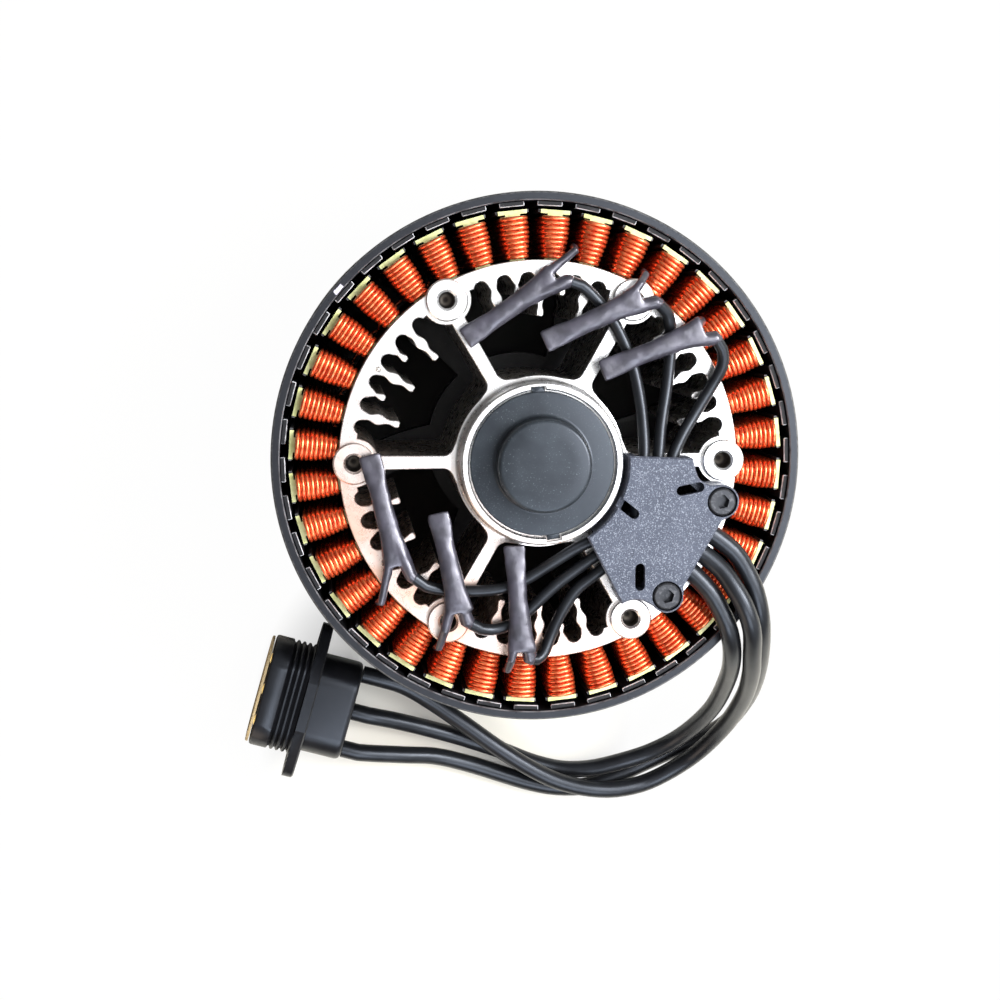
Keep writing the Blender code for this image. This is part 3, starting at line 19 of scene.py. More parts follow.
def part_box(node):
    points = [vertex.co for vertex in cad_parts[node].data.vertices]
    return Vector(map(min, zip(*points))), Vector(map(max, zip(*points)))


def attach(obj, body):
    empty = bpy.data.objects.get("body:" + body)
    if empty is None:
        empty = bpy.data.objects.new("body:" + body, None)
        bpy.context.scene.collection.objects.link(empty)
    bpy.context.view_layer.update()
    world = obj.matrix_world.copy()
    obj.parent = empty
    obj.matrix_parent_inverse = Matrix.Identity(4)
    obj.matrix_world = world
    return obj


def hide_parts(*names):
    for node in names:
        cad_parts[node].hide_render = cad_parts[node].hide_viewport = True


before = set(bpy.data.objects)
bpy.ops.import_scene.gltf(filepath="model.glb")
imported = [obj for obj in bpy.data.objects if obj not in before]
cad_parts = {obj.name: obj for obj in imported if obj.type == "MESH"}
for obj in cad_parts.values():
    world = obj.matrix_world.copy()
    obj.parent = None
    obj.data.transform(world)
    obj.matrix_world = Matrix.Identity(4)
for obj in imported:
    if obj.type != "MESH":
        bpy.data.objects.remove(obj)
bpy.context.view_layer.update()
MM = 0.001

# %% [markdown]
# ## The camera
#
# The photograph looks almost straight down on the motor from about a third of a metre, and
# leans 9 degrees towards the upper left. A long lens keeps the ring nearly round. The aim
# point and the lens are worked out from how large a millimetre is in the middle of the frame.

# %% Camera
CAMERA_DISTANCE = 0.350
CAMERA_LEAN = math.radians(9.0)
CAMERA_BEARING = math.radians(127.0)
CAMERA_AIM = Vector((-7.745, -7.968, 45.0)) * MM
FRAME_WIDTH = 0.20134           # metres seen across the frame at the aim point

camera_data = bpy.data.cameras.new("camera")
camera_data.sensor_width = 36.0
camera_data.lens = camera_data.sensor_width * CAMERA_DISTANCE / FRAME_WIDTH
camera = bpy.data.objects.new("camera", camera_data)
bpy.context.scene.collection.objects.link(camera)
lean = Vector((math.cos(CAMERA_BEARING), math.sin(CAMERA_BEARING), 0.0)) * math.sin(CAMERA_LEAN)
back = lean + Vector((0.0, 0.0, math.cos(CAMERA_LEAN)))
right = (-back).cross(Vector((0.0, 1.0, 0.0))).normalized()
up = right.cross(-back)
camera.matrix_world = (Matrix.Translation(CAMERA_AIM + back * CAMERA_DISTANCE)
                       @ Matrix((right, up, back)).transposed().to_4x4())
bpy.context.scene.camera = camera
print("lens", round(camera_data.lens, 1), "mm")

# %% [markdown]
# ## Writing materials as sums
#
# A finish is mostly arithmetic: a mask times one colour and one minus the mask times another.
# One small class wraps a node's output and turns Python's operators into Math nodes, so that
# a material below reads like a formula. Every other node comes from its one method.

# %% Signal, a node output with arithmetic
class Signal:
    """A value that changes over a surface."""

    def __init__(self, tree, socket):
        self.tree = tree
        self.socket = socket

    def node(self, kind, settings=None, values=None, output=0):
        """Add a node of that type, set it up, and return one of its outputs."""
        made = self.tree.nodes.new(kind)
        for name, setting in (settings or {}).items():
            if name == "stops":
                ramp = made.color_ramp
                while len(ramp.elements) < len(setting):
                    ramp.elements.new(1.0)
                for stop, (position, grey) in zip(ramp.elements, setting):
                    stop.position = position
                    stop.color = (grey, grey, grey, 1.0)
            else:
                setattr(made, name, setting)
        for key, value in (values or {}).items():
            if isinstance(value, Signal):
                self.tree.links.new(value.socket, made.inputs[key])
            else:
                made.inputs[key].default_value = value
        return Signal(self.tree, made.outputs[output])

    def maths(self, operation, first, second=0.0):
        return self.node("ShaderNodeMath", {"operation": operation}, {0: first, 1: second})

    def __add__(self, other):
        return self.maths("ADD", self, other)

    def __radd__(self, other):
        return self.maths("ADD", other, self)

    def __sub__(self, other):
        return self.maths("SUBTRACT", self, other)

    def __rsub__(self, other):
        return self.maths("SUBTRACT", other, self)

    def __mul__(self, other):
        return self.maths("MULTIPLY", self, other)

    def __rmul__(self, other):
        return self.maths("MULTIPLY", other, self)

    def __truediv__(self, other):
        return self.maths("DIVIDE", self, other)

    def step(self, low, high):
        """Rise from 0 at low to 1 at high, or the other way if low is the larger."""
        rising = (self - low) / (high - low)
        return self.node("ShaderNodeClamp", None, {0: rising})

    def band(self, low, high, soft):
        """1 between two values and 0 outside, with soft edges."""
        return self.step(low - soft, low) * (1.0 - self.step(high, high + soft))


# %% [markdown]
# ## A finish and its helpers
#
# Each finish starts from a Principled shader. What is the same all over the surface, such as
# a coat's roughness, is set straight on the shader. What varies goes through the helpers:
# grain is noise of a given size in millimetres, paint mixes two colours by a mask, and relief
# turns a height into bump. Places are the object's own coordinates, which stay on the piece
# when it turns.

# %% Finish, a Principled material with helpers
class Finish:
    """A named material for one surface of the motor."""

    def __init__(self, name, colour, roughness, metallic=0.0, fixed=None):
        self.material = bpy.data.materials.new(name)
        self.material.use_nodes = True
        tree = self.material.node_tree
        self.shader = tree.nodes["Principled BSDF"]
        self.shader.inputs["Base Color"].default_value = (*colour, 1.0)
        self.shader.inputs["Roughness"].default_value = roughness
        self.shader.inputs["Metallic"].default_value = metallic
        for label, value in (fixed or {}).items():
            self.shader.inputs[label].default_value = value
        self.place = Signal(tree, tree.nodes.new("ShaderNodeTexCoord").outputs["Object"])

    def drive(self, label, signal):
        self.place.tree.links.new(signal.socket, self.shader.inputs[label])

    def grain(self, size, detail=3.0, stretch=(1.0, 1.0, 1.0)):
        """Noise from 0 to 1 with spots of about that many millimetres."""
        spread = self.place.node("ShaderNodeVectorMath", {"operation": "MULTIPLY"},
                                 {0: self.place, 1: [1.0 / (s * size * MM) for s in stretch]})
        return self.place.node("ShaderNodeTexNoise", None,
                               {"Vector": spread, "Scale": 1.0, "Detail": detail})

    def part(self, number):
        """One coordinate of the place, in millimetres."""
        split = self.place.node("ShaderNodeSeparateXYZ", None, {0: self.place}, number)
        return split * (1.0 / MM)

    def radius(self):
        """Distance from the motor's axis, in millimetres."""
        flat = self.place.node("ShaderNodeVectorMath", {"operation": "MULTIPLY"},
                               {0: self.place, 1: (1.0, 1.0, 0.0)})
        length = self.place.node("ShaderNodeVectorMath", {"operation": "LENGTH"},
                                 {0: flat}, "Value")
        return length * (1.0 / MM)

    def paint(self, mask, below, above):
        """Mix two colours, or a colour and what is there, by a mask."""
        return self.place.node("ShaderNodeMix", {"data_type": "RGBA"},
                               {0: mask, 6: self.shade(below), 7: self.shade(above)}, 2)

    def shade(self, colour):
        return colour if isinstance(colour, Signal) else (*colour, 1.0)

    def relief(self, height, depth, strength=1.0):
        """Bump from a height of 0 to 1, that many millimetres deep."""
        bump = self.place.node("ShaderNodeBump", None,
                               {"Strength": strength, "Distance": depth * MM,
                                "Height": height})
        self.drive("Normal", bump)


print("shader helpers ready")

# %% [markdown]
# ## Black finishes
#
# The ring is steel with a satin black coating. Its outer edge is painted pale, partly as wear and
# partly as a painted highlight, so the colour changes with the distance from the axis, and a
# short dab of pale balancing paint crosses its face. The bell on the propeller side is black
# anodised aluminium with faint turning marks, and both keep a little dust. How strongly a coating
# mirrors the window, and how blue, is a plain number and a plain colour on the shader itself.

# %% Satin black steel and anodised aluminium
ring_low, ring_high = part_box("rotor_ring")
RING_OUTER = ring_high.x / MM
RING_TOP = ring_high.z / MM
DULL = {"Specular IOR Level": 0.22}     # for blacks that mirror little of the room
COOL_GLOSS = {"Specular IOR Level": 0.42, "Specular Tint": (0.80, 0.87, 1.0, 1.0)}
DAB_ANGLE = math.radians(139.2)         # where the dab of paint lies, seen from the axis
DAB_HALF_WIDTH = 1.0
DAB_RADII = (49.9, 52.6)


def satin_black():
    made = Finish("satin_black_steel", (0.012, 0.012, 0.014), 0.38, 0.0, COOL_GLOSS)
    radius = made.radius()
    high = made.part(2).step(RING_TOP - 0.35, RING_TOP - 0.05)
    wear_and_highlight = made.grain(0.9).step(0.42, 0.62)
    # The pale outer band is partly wear and partly a painted highlight.
    outer = radius.step(RING_OUTER - 0.42, RING_OUTER - 0.22) * high * (0.25 + 0.5 * wear_and_highlight)
    dust = made.grain(0.35, 2.0).step(0.66, 0.78) * made.grain(7.0).step(0.45, 0.7)
    base = made.paint(dust * 0.30, (0.012, 0.012, 0.014), (0.10, 0.10, 0.11))
    base = made.paint(outer, base, (0.22, 0.22, 0.23))
    along = made.part(0) * math.cos(DAB_ANGLE) + made.part(1) * math.sin(DAB_ANGLE)
    aside = made.part(1) * math.cos(DAB_ANGLE) - made.part(0) * math.sin(DAB_ANGLE)
    ragged = made.grain(0.8) * 0.7 - 0.35
    dab = (aside + ragged).band(-DAB_HALF_WIDTH, DAB_HALF_WIDTH, 0.12)
    dab = dab * (along + ragged).band(DAB_RADII[0], DAB_RADII[1], 0.15) * high
    made.drive("Base Color", made.paint(dab, base, (0.66, 0.62, 0.72)))
    made.drive("Roughness", made.grain(3.0) * 0.12 + 0.24)
    made.relief(made.grain(0.12), 0.02, 0.35)
    return made.material


def edge_wear_and_highlight():
    # The chamfer is painted paler than the ring, partly as wear and partly as a painted
    # highlight.
    made = Finish("edge_wear_and_highlight", (0.12, 0.12, 0.13), 0.45)
    made.drive("Roughness", made.grain(0.6) * 0.3 + 0.30)
    dull = made.grain(2.4).step(0.40, 0.62)
    made.drive("Base Color", made.paint(dull, (0.16, 0.16, 0.17), (0.04, 0.04, 0.045)))
    return made.material


def anodised_black():
    made = Finish("anodised_black", (0.010, 0.010, 0.012), 0.42, 0.0, DULL)
    rings = made.radius() * 9.0
    turning = rings.maths("SINE", rings)
    made.drive("Roughness", made.grain(5.0) * 0.2 + 0.30)
    made.relief(turning * 0.5 + made.grain(0.25), 0.012, 0.4)
    dust = made.grain(0.3, 2.0).step(0.64, 0.80)
    made.drive("Base Color", made.paint(dust * 0.25, (0.010, 0.010, 0.012),
                                        (0.12, 0.12, 0.13)))
    return made.material


print("ring outside", round(2 * RING_OUTER, 1), "mm across")

# %% [markdown]
# ## Copper, magnets and the core
#
# Magnet wire is copper under a clear enamel that turns it orange-red: a metallic base with a
# glossy coat. A metal tints what it mirrors, so a strong lamp turns from red over orange to
# cream along each turn. The magnets are coated dark, with their plating bare on the edges,
# and the core is a stack of thin varnished sheets, whose edges are drawn by a fine stripe
# along the motor's axis.

# %% Copper enamel, nickel plate, laminations, insulation
def enamelled_copper():
    made = Finish("enamelled_copper", (0.86, 0.12, 0.03), 0.28, 0.85, {"Coat Roughness": 0.16})
    drift = made.grain(1.6, 2.0).step(0.30, 0.70)
    scorched = made.grain(4.0).step(0.55, 0.75)
    base = made.paint(drift, (0.76, 0.085, 0.020), (0.94, 0.230, 0.075))
    made.drive("Base Color", made.paint(scorched * 0.35, base, (0.34, 0.030, 0.010)))
    made.drive("Coat Weight", 0.75 - 0.3 * scorched)
    made.drive("Roughness", made.grain(0.8) * 0.10 + 0.23)
    return made.material


def nickel_plate():
    made = Finish("nickel_plate", (0.66, 0.67, 0.70), 0.40, 0.3)
    smudge = made.grain(1.8).step(0.45, 0.70)
    made.drive("Base Color", made.paint(smudge, (0.70, 0.71, 0.74), (0.12, 0.12, 0.13)))
    made.drive("Roughness", made.grain(0.7) * 0.25 + 0.30)
    return made.material


def magnet_coat():
    made = Finish("magnet_coat", (0.012, 0.012, 0.014), 0.5, 0.0, DULL)
    scuff = made.grain(1.2).step(0.60, 0.75)
    made.drive("Base Color", made.paint(scuff * 0.4, (0.010, 0.010, 0.012), (0.07, 0.07, 0.08)))
    made.drive("Roughness", made.grain(0.6) * 0.2 + 0.38)
    return made.material


def varnished_sheets():
    made = Finish("varnished_sheets", (0.06, 0.06, 0.065), 0.5, 0.6)
    sheet = made.part(2) * 18.0
    stripe = sheet.maths("SINE", sheet) * 0.5 + 0.5
    made.drive("Base Color", made.paint(stripe, (0.035, 0.035, 0.04), (0.10, 0.10, 0.105)))
    made.drive("Roughness", made.grain(1.0) * 0.3 + 0.35)
    made.relief(stripe, 0.03)
    return made.material


def insulation():
    made = Finish("insulation", (0.62, 0.66, 0.26), 0.40)
    stained = made.grain(1.3).step(0.35, 0.70)
    made.drive("Base Color", made.paint(stained, (0.78, 0.81, 0.42), (0.58, 0.62, 0.24)))
    made.drive("Roughness", made.grain(0.5) * 0.3 + 0.25)
    made.relief(made.grain(0.15), 0.02, 0.5)
    return made.material


print("coil and core finishes ready")

# %% [markdown]
# ## Bare machined aluminium
#
# The carrier was turned and milled and left bare. Up close it shows fine turning rings on
# its flat top and a few cream handling stains. A peach tint on the side away from the clamp is a
# painted warm reflection, and below the flat top the metal is painted darker and warmer as shade,
# with milling streaks. Its tapped holes are painted dark as shade. Steel of the
# shaft and the bearings is ground, with finer marks.

# %% Machined aluminium and ground steel
CARRIER_FACE = 47.3             # height of the carrier's flat top, in millimetres


def machined_aluminium():
    made = Finish("machined_aluminium", (0.86, 0.855, 0.84), 0.26, 1.0)
    rings = made.radius() * 24.0
    turning = rings.maths("SINE", rings) * 0.5 + 0.5
    above = made.part(2) - CARRIER_FACE
    flat = above.step(-0.4, -0.1) * (1.0 - above.step(0.1, 0.3))
    stain = made.grain(3.2).step(0.52, 0.74)
    streak = made.grain(0.5, 2.0, (1.0, 1.0, 12.0)).step(0.35, 0.65)
    # Below the flat top the metal is painted darker and warmer as shade, varied by milling
    # streaks.
    wall = 1.0 - above.step(-1.5, -0.3)
    base = made.paint(stain * 0.30, (0.91, 0.91, 0.915), (0.78, 0.71, 0.58))
    # The peach tint towards the lower left is a painted warm reflection.
    away = made.part(0) * -0.62 + made.part(1) * -0.78
    warm_reflection_paint = away.step(6.0, 34.0) * (0.35 + 0.65 * made.grain(7.0).step(0.35, 0.60))
    base = made.paint(warm_reflection_paint * 0.95, base, (0.84, 0.55, 0.43))
    made.drive("Base Color", made.paint(wall * (0.35 + 0.3 * streak), base, (0.46, 0.39, 0.32)))
    made.drive("Roughness", made.grain(1.2) * 0.16 + 0.20 + 0.04 * stain)
    made.relief(turning * flat + 0.3 * made.grain(0.2) + 0.5 * streak * wall, 0.007, 0.5)
    return made.material


def shaded_tapped_hole():
    # The hole's walls are painted dark as shade, striped along the thread.
    made = Finish("shaded_tapped_hole", (0.10, 0.085, 0.07), 0.5, 0.6)
    thread = made.part(2) * 9.0
    ridge = thread.maths("SINE", thread) * 0.5 + 0.5
    made.drive("Base Color", made.paint(ridge, (0.035, 0.030, 0.027), (0.17, 0.145, 0.12)))
    made.relief(ridge, 0.06)
    return made.material


def ground_steel():
    made = Finish("ground_steel", (0.58, 0.58, 0.59), 0.25, 1.0)
    marks = made.grain(0.4, 2.0, (6.0, 6.0, 1.0))
    made.drive("Roughness", marks * 0.2 + 0.15)
    made.drive("Base Color", made.paint(marks, (0.50, 0.50, 0.51), (0.66, 0.66, 0.67)))
    made.relief(marks, 0.01)
    return made.material


print("bare metals ready")

# %% [markdown]
# ## Plastics, sleeves and wire covers
#
# The hub cap is a dark slate moulding that collects pale dust. The clamp cover is a blue-grey
# moulding with a spark-eroded grain of fine bumps, and pale specks painted on it stand for the
# glints of that grain. Shrink sleeve is black with a violet-grey sheen and small creases. The
# wires have a black silicone cover, and the connector is black too.

# %% Moulded plastics
def slate_moulding():
    made = Finish("slate_moulding", (0.014, 0.018, 0.022), 0.36, 0.0, COOL_GLOSS)
    dust = made.grain(0.28, 2.0).step(0.63, 0.72) * made.grain(3.0).step(0.40, 0.60)
    haze = made.grain(6.0).step(0.35, 0.75)
    base = made.paint(haze, (0.014, 0.017, 0.021), (0.026, 0.032, 0.038))
    made.drive("Base Color", made.paint(dust * 0.45, base, (0.22, 0.24, 0.26)))
    made.drive("Roughness", 0.30 + 0.12 * haze + 0.2 * dust)
    made.relief(made.grain(0.14), 0.015, 0.5)
    return made.material


def grained_moulding():
    made = Finish("grained_moulding", (0.090, 0.100, 0.140), 0.44, 0.0, COOL_GLOSS)
    pits = made.grain(0.34, 3.0)
    # Pale specks are painted on as glints of the grain.
    painted_glints = made.grain(0.26, 2.0).step(0.55, 0.66)
    haze = made.grain(5.0).step(0.30, 0.70)
    base = made.paint(haze, (0.042, 0.047, 0.067), (0.085, 0.094, 0.126))
    base = made.paint(made.grain(0.5, 2.0).step(0.40, 0.62), base, (0.054, 0.060, 0.084))
    made.drive("Base Color", made.paint(painted_glints * 0.55, base, (0.40, 0.43, 0.50)))
    made.drive("Roughness", pits * 0.25 + 0.30)
    made.relief(pits, 0.06, 0.8)
    return made.material


def shrink_sleeve():
    made = Finish("shrink_sleeve", (0.030, 0.028, 0.036), 0.36, 0.0,
                  {"Specular IOR Level": 1.0, "Specular Tint": (0.90, 0.89, 1.0, 1.0)})
    crease = made.grain(1.1, 4.0)
    haze = made.grain(2.5).step(0.35, 0.70)
    made.drive("Base Color", made.paint(haze, (0.018, 0.017, 0.023), (0.048, 0.045, 0.062)))
    made.drive("Roughness", crease * 0.2 + 0.22)
    made.relief(crease, 0.08, 0.5)
    return made.material


def wire_silicone():
    made = Finish("wire_silicone", (0.022, 0.024, 0.028), 0.40, 0.0, COOL_GLOSS)
    haze = made.grain(4.0).step(0.35, 0.70)
    made.drive("Base Color", made.paint(haze, (0.006, 0.006, 0.007), (0.012, 0.013, 0.015)))
    made.drive("Roughness", made.grain(0.6) * 0.12 + 0.26)
    made.relief(made.grain(0.2), 0.015, 0.4)
    return made.material


def connector_black():
    made = Finish("connector_black", (0.006, 0.006, 0.007), 0.34, 0.0, COOL_GLOSS)
    haze = made.grain(5.0).step(0.35, 0.75)
    made.drive("Base Color", made.paint(haze, (0.005, 0.005, 0.006), (0.011, 0.011, 0.013)))
    made.drive("Roughness", made.grain(0.9) * 0.16 + 0.24)
    made.relief(made.grain(0.25), 0.012, 0.4)
    return made.material


print("plastics ready")

# %% [markdown]
# ## Small parts' finishes
#
# Screws are black oxide steel, the contacts are gold plated, and the connector's mating face
# carries a thin tan seal.

# %% Screws, contacts and seal
def black_oxide():
    made = Finish("black_oxide", (0.040, 0.040, 0.044), 0.36, 0.3, COOL_GLOSS)
    rubbed = made.grain(0.7).step(0.52, 0.70)
    made.drive("Base Color", made.paint(rubbed * 0.5, (0.034, 0.034, 0.037), (0.16, 0.16, 0.17)))
    made.drive("Roughness", made.grain(0.5) * 0.25 + 0.20)
    return made.material


def gold_plate():
    made = Finish("gold_plate", (0.92, 0.66, 0.24), 0.20, 1.0)
    made.drive("Roughness", made.grain(0.5) * 0.2 + 0.12)
    made.drive("Base Color", made.paint(made.grain(0.9), (0.95, 0.72, 0.30), (0.80, 0.52, 0.16)))
    return made.material


def tan_seal():
    made = Finish("tan_seal", (0.46, 0.34, 0.18), 0.55)
    made.drive("Base Color", made.paint(made.grain(1.0), (0.50, 0.38, 0.20), (0.38, 0.27, 0.13)))
    made.relief(made.grain(0.2), 0.02, 0.5)
    return made.material


SATIN_BLACK = satin_black()
EDGE_WEAR_AND_HIGHLIGHT = edge_wear_and_highlight()
ANODISED = anodised_black()
COPPER = enamelled_copper()
NICKEL = nickel_plate()
MAGNET_COAT = magnet_coat()
SHEETS = varnished_sheets()
INSULATION = insulation()
ALUMINIUM = machined_aluminium()
TAPPED_SHADE = shaded_tapped_hole()
STEEL = ground_steel()
SLATE = slate_moulding()
GRAINED = grained_moulding()
SLEEVE = shrink_sleeve()
SILICONE = wire_silicone()
CONNECTOR_BLACK = connector_black()
OXIDE = black_oxide()
GOLD = gold_plate()
SEAL = tan_seal()
print(len(bpy.data.materials), "materials")

# %% [markdown]
# ## Drawing helpers
#
# Most pieces here are turned, sawn out of plate, or swept along a path. A few functions do
# these three jobs: turned spins a profile, plate extrudes an outline with holes and breaks
# its upper edges with a chamfer, and wire carries a round section along a smooth route. Real
# edges are never quite sharp, and the thin bright line on a chamfer makes metal look machined.

# %% Points, outlines and objects
def polar(radius, degrees):
    angle = math.radians(degrees)
    return Vector((radius * math.cos(angle), radius * math.sin(angle)))


def beside(radius, degrees, offset):
    """Point at a radius along a ray, moved sideways from it."""
    angle = math.radians(degrees)
    return polar(radius, degrees) + offset * Vector((-math.sin(angle), math.cos(angle)))


def arc(centre, radius, start, end, steps):
    turn = (end - start) / steps
    return [Vector(centre) + polar(radius, start + turn * i) for i in range(steps + 1)]


def circle(centre, radius, steps):
    return arc(centre, radius, 0.0, 360.0 - 360.0 / steps, steps - 1)


def piece_from(bm, name, material, sharp=35.0):
    """Turn a bmesh into a linked object with outward faces and soft shading."""
    bmesh.ops.recalc_face_normals(bm, faces=bm.faces)
    mesh = bpy.data.meshes.new(name)
    bm.to_mesh(mesh)
    bm.free()
    mesh.shade_smooth()
    mesh.set_sharp_from_angle(angle=math.radians(sharp))
    made = bpy.data.objects.new(name, mesh)
    made.data.materials.append(material)
    bpy.context.scene.collection.objects.link(made)
    return made


def bake_modifiers(made, sharp=35.0):
    """Replace an object's mesh by what its modifiers make of it."""
    graph = bpy.context.evaluated_depsgraph_get()
    mesh = bpy.data.meshes.new_from_object(made.evaluated_get(graph))
    made.modifiers.clear()
    made.data = mesh
    mesh.shade_smooth()
    mesh.set_sharp_from_angle(angle=math.radians(sharp))


def combine(target, tool, operation, sharp=35.0):
    """Join the tool to the target or cut it away, and drop the tool."""
    step = target.modifiers.new(operation.title(), "BOOLEAN")
    step.operation = operation
    step.solver = "EXACT"
    step.object = tool
    bake_modifiers(target, sharp)
    bpy.data.objects.remove(tool)


def dress(made, body, slot, *nodes):
    """Say which body a piece rides on and hide the nodes it stands for; slot is not used."""
    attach(made, body)
    if nodes:
        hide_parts(*nodes)
    return made


def triangles_of(made):
    return sum(len(polygon.vertices) - 2 for polygon in made.data.polygons)


# %% Turned pieces, plates and sweeps
def turned(name, material, profile, steps, sharp=35.0):
    """Revolve a closed (radius, height) profile about the Z axis."""
    bm = bmesh.new()
    corners = [bm.verts.new((r, 0.0, z)) for r, z in profile]
    edges = [bm.edges.new((corner, corners[(i + 1) % len(corners)]))
             for i, corner in enumerate(corners)
             if not (profile[i][0] == 0.0 and profile[(i + 1) % len(profile)][0] == 0.0)]
    bmesh.ops.spin(bm, geom=corners + edges, cent=(0, 0, 0), axis=(0, 0, 1),
                   angle=2 * math.pi, steps=steps, use_merge=True)
    bmesh.ops.remove_doubles(bm, verts=bm.verts, dist=1e-7)
    return piece_from(bm, name, material, sharp)


def inset(outline, amount):
    """Move an outline inward by an amount, along the mean normal of each corner."""
    area = sum(a.cross(b) for a, b in zip(outline, outline[1:] + outline[:1]))
    turn = 1.0 if area > 0 else -1.0
    moved = []
    for before, here, after in zip(outline[-1:] + outline[:-1], outline,
                                   outline[1:] + outline[:1]):
        first = (here - before).normalized()
        second = (after - here).normalized()
        normal = Vector((-first.y - second.y, first.x + second.x))
        if normal.length < 1e-6:
            moved.append(here.copy())
            continue
        normal.normalize()
        reach = amount / max(0.5, abs(normal.dot(Vector((-first.y, first.x)))))
        moved.append(here + normal * turn * reach)
    return moved


def plate(name, material, outline, bottom, top, holes=(), chamfer=0.0, sharp=35.0):
    """Extrude an outline with holes, with a chamfer round its upper edges."""
    bm = bmesh.new()
    outline = [Vector(p) for p in outline]
    holes = [[Vector(p) for p in hole] for hole in holes]
    levels = [(bottom, 0.0), (top - chamfer, 0.0)]
    if chamfer:
        levels.append((top, chamfer))
    ends = []
    for number, loop in enumerate((outline, *holes)):
        rows = []
        for height, amount in levels:
            drawn = inset(loop, -amount if number else amount) if amount else loop
            rows.append([bm.verts.new((p.x, p.y, height)) for p in drawn])
        for row, above in zip(rows, rows[1:]):
            for i in range(len(row)):
                j = (i + 1) % len(row)
                bm.faces.new((row[i], row[j], above[j], above[i]))
        ends.append((rows[0], rows[-1]))
    for side in (0, 1):
        edges = []
        for pair in ends:
            row = pair[side]
            edges += [bm.edges.get((row[i], row[(i + 1) % len(row)]))
                      for i in range(len(row))]
        bmesh.ops.triangle_fill(bm, use_beauty=True, edges=edges)
    return piece_from(bm, name, material, sharp)


def loft(bm, rings):
    """Skin closed rings of points one after the other, with capped ends."""
    rows = [[bm.verts.new(p) for p in ring] for ring in rings]
    count = len(rows[0])
    for row, following in zip(rows, rows[1:]):
        for i in range(count):
            j = (i + 1) % count
            bm.faces.new((row[i], row[j], following[j], following[i]))
    bm.faces.new(list(reversed(rows[0])))
    bm.faces.new(rows[-1])


print("drawing helpers ready")

# %% Smooth routes and round wires
def smooth_route(points, spacing):
    """Even points on a smooth curve from the second point to the last but one."""
    fine = []
    for before, a, b, after in zip(points, points[1:], points[2:], points[3:]):
        for i in range(24):
            t = i / 24
            fine.append(0.5 * (2 * a + (b - before) * t
                               + (2 * before - 5 * a + 4 * b - after) * t * t
                               + (3 * a - 3 * b + after - before) * t * t * t))
    fine.append(points[-2])
    total = sum((b - a).length for a, b in zip(fine, fine[1:]))
    steps = max(2, round(total / spacing))
    picked = [fine[0]]
    walked = 0.0
    for a, b in zip(fine, fine[1:]):
        span = (b - a).length
        while len(picked) < steps and walked + span >= total * len(picked) / steps:
            picked.append(a.lerp(b, (total * len(picked) / steps - walked) / span))
        walked += span
    picked.append(fine[-1])
    return picked


def wire(name, material, points, radius, spacing, resolution):
    """Round wire along a smooth route, with straight ends and filled caps."""
    points = [Vector(p) for p in points]
    route = [points[0], *smooth_route(points, spacing), points[-1]]
    curve = bpy.data.curves.new(name, "CURVE")
    curve.dimensions = "3D"
    curve.bevel_depth = radius
    curve.bevel_resolution = resolution
    curve.use_fill_caps = True
    spline = curve.splines.new("POLY")
    spline.points.add(len(route) - 1)
    for slot, point in zip(spline.points, route):
        slot.co = (*point, 1.0)
    made = bpy.data.objects.new(name, curve)
    made.data.materials.append(material)
    bpy.context.scene.collection.objects.link(made)
    return made, route


def length_of(route):
    return sum((b - a).length for a, b in zip(route, route[1:]))


print("wire helpers ready")

# %% [markdown]
# ## The phase cables
#
# Three 3.9 mm silicone cables leave the clamp side by side, bow out over the ring's edge,
# fall to the table and swing round the motor to the back of the connector. The lower one
# crosses under the others, and the middle one rides on top. Each keeps the route that its
# solid has, so the motor fits the same shelf, and only gets a rounder section here.

# %% Connector's own frame
CONNECTOR_PLACE = Vector((-58.2, -54.1, 8.2)) * MM
CONNECTOR_TURN = math.radians(-16.0)
CONNECTOR_LENGTH = 21.2 * MM    # from the mating face to the back
OUTLET_SPACING = 8.8 * MM
OUTLET_STRAIGHT = 4.0 * MM
CONNECTOR_FRAME = Matrix.Translation(CONNECTOR_PLACE) @ Matrix.Rotation(CONNECTOR_TURN, 4, "Z")

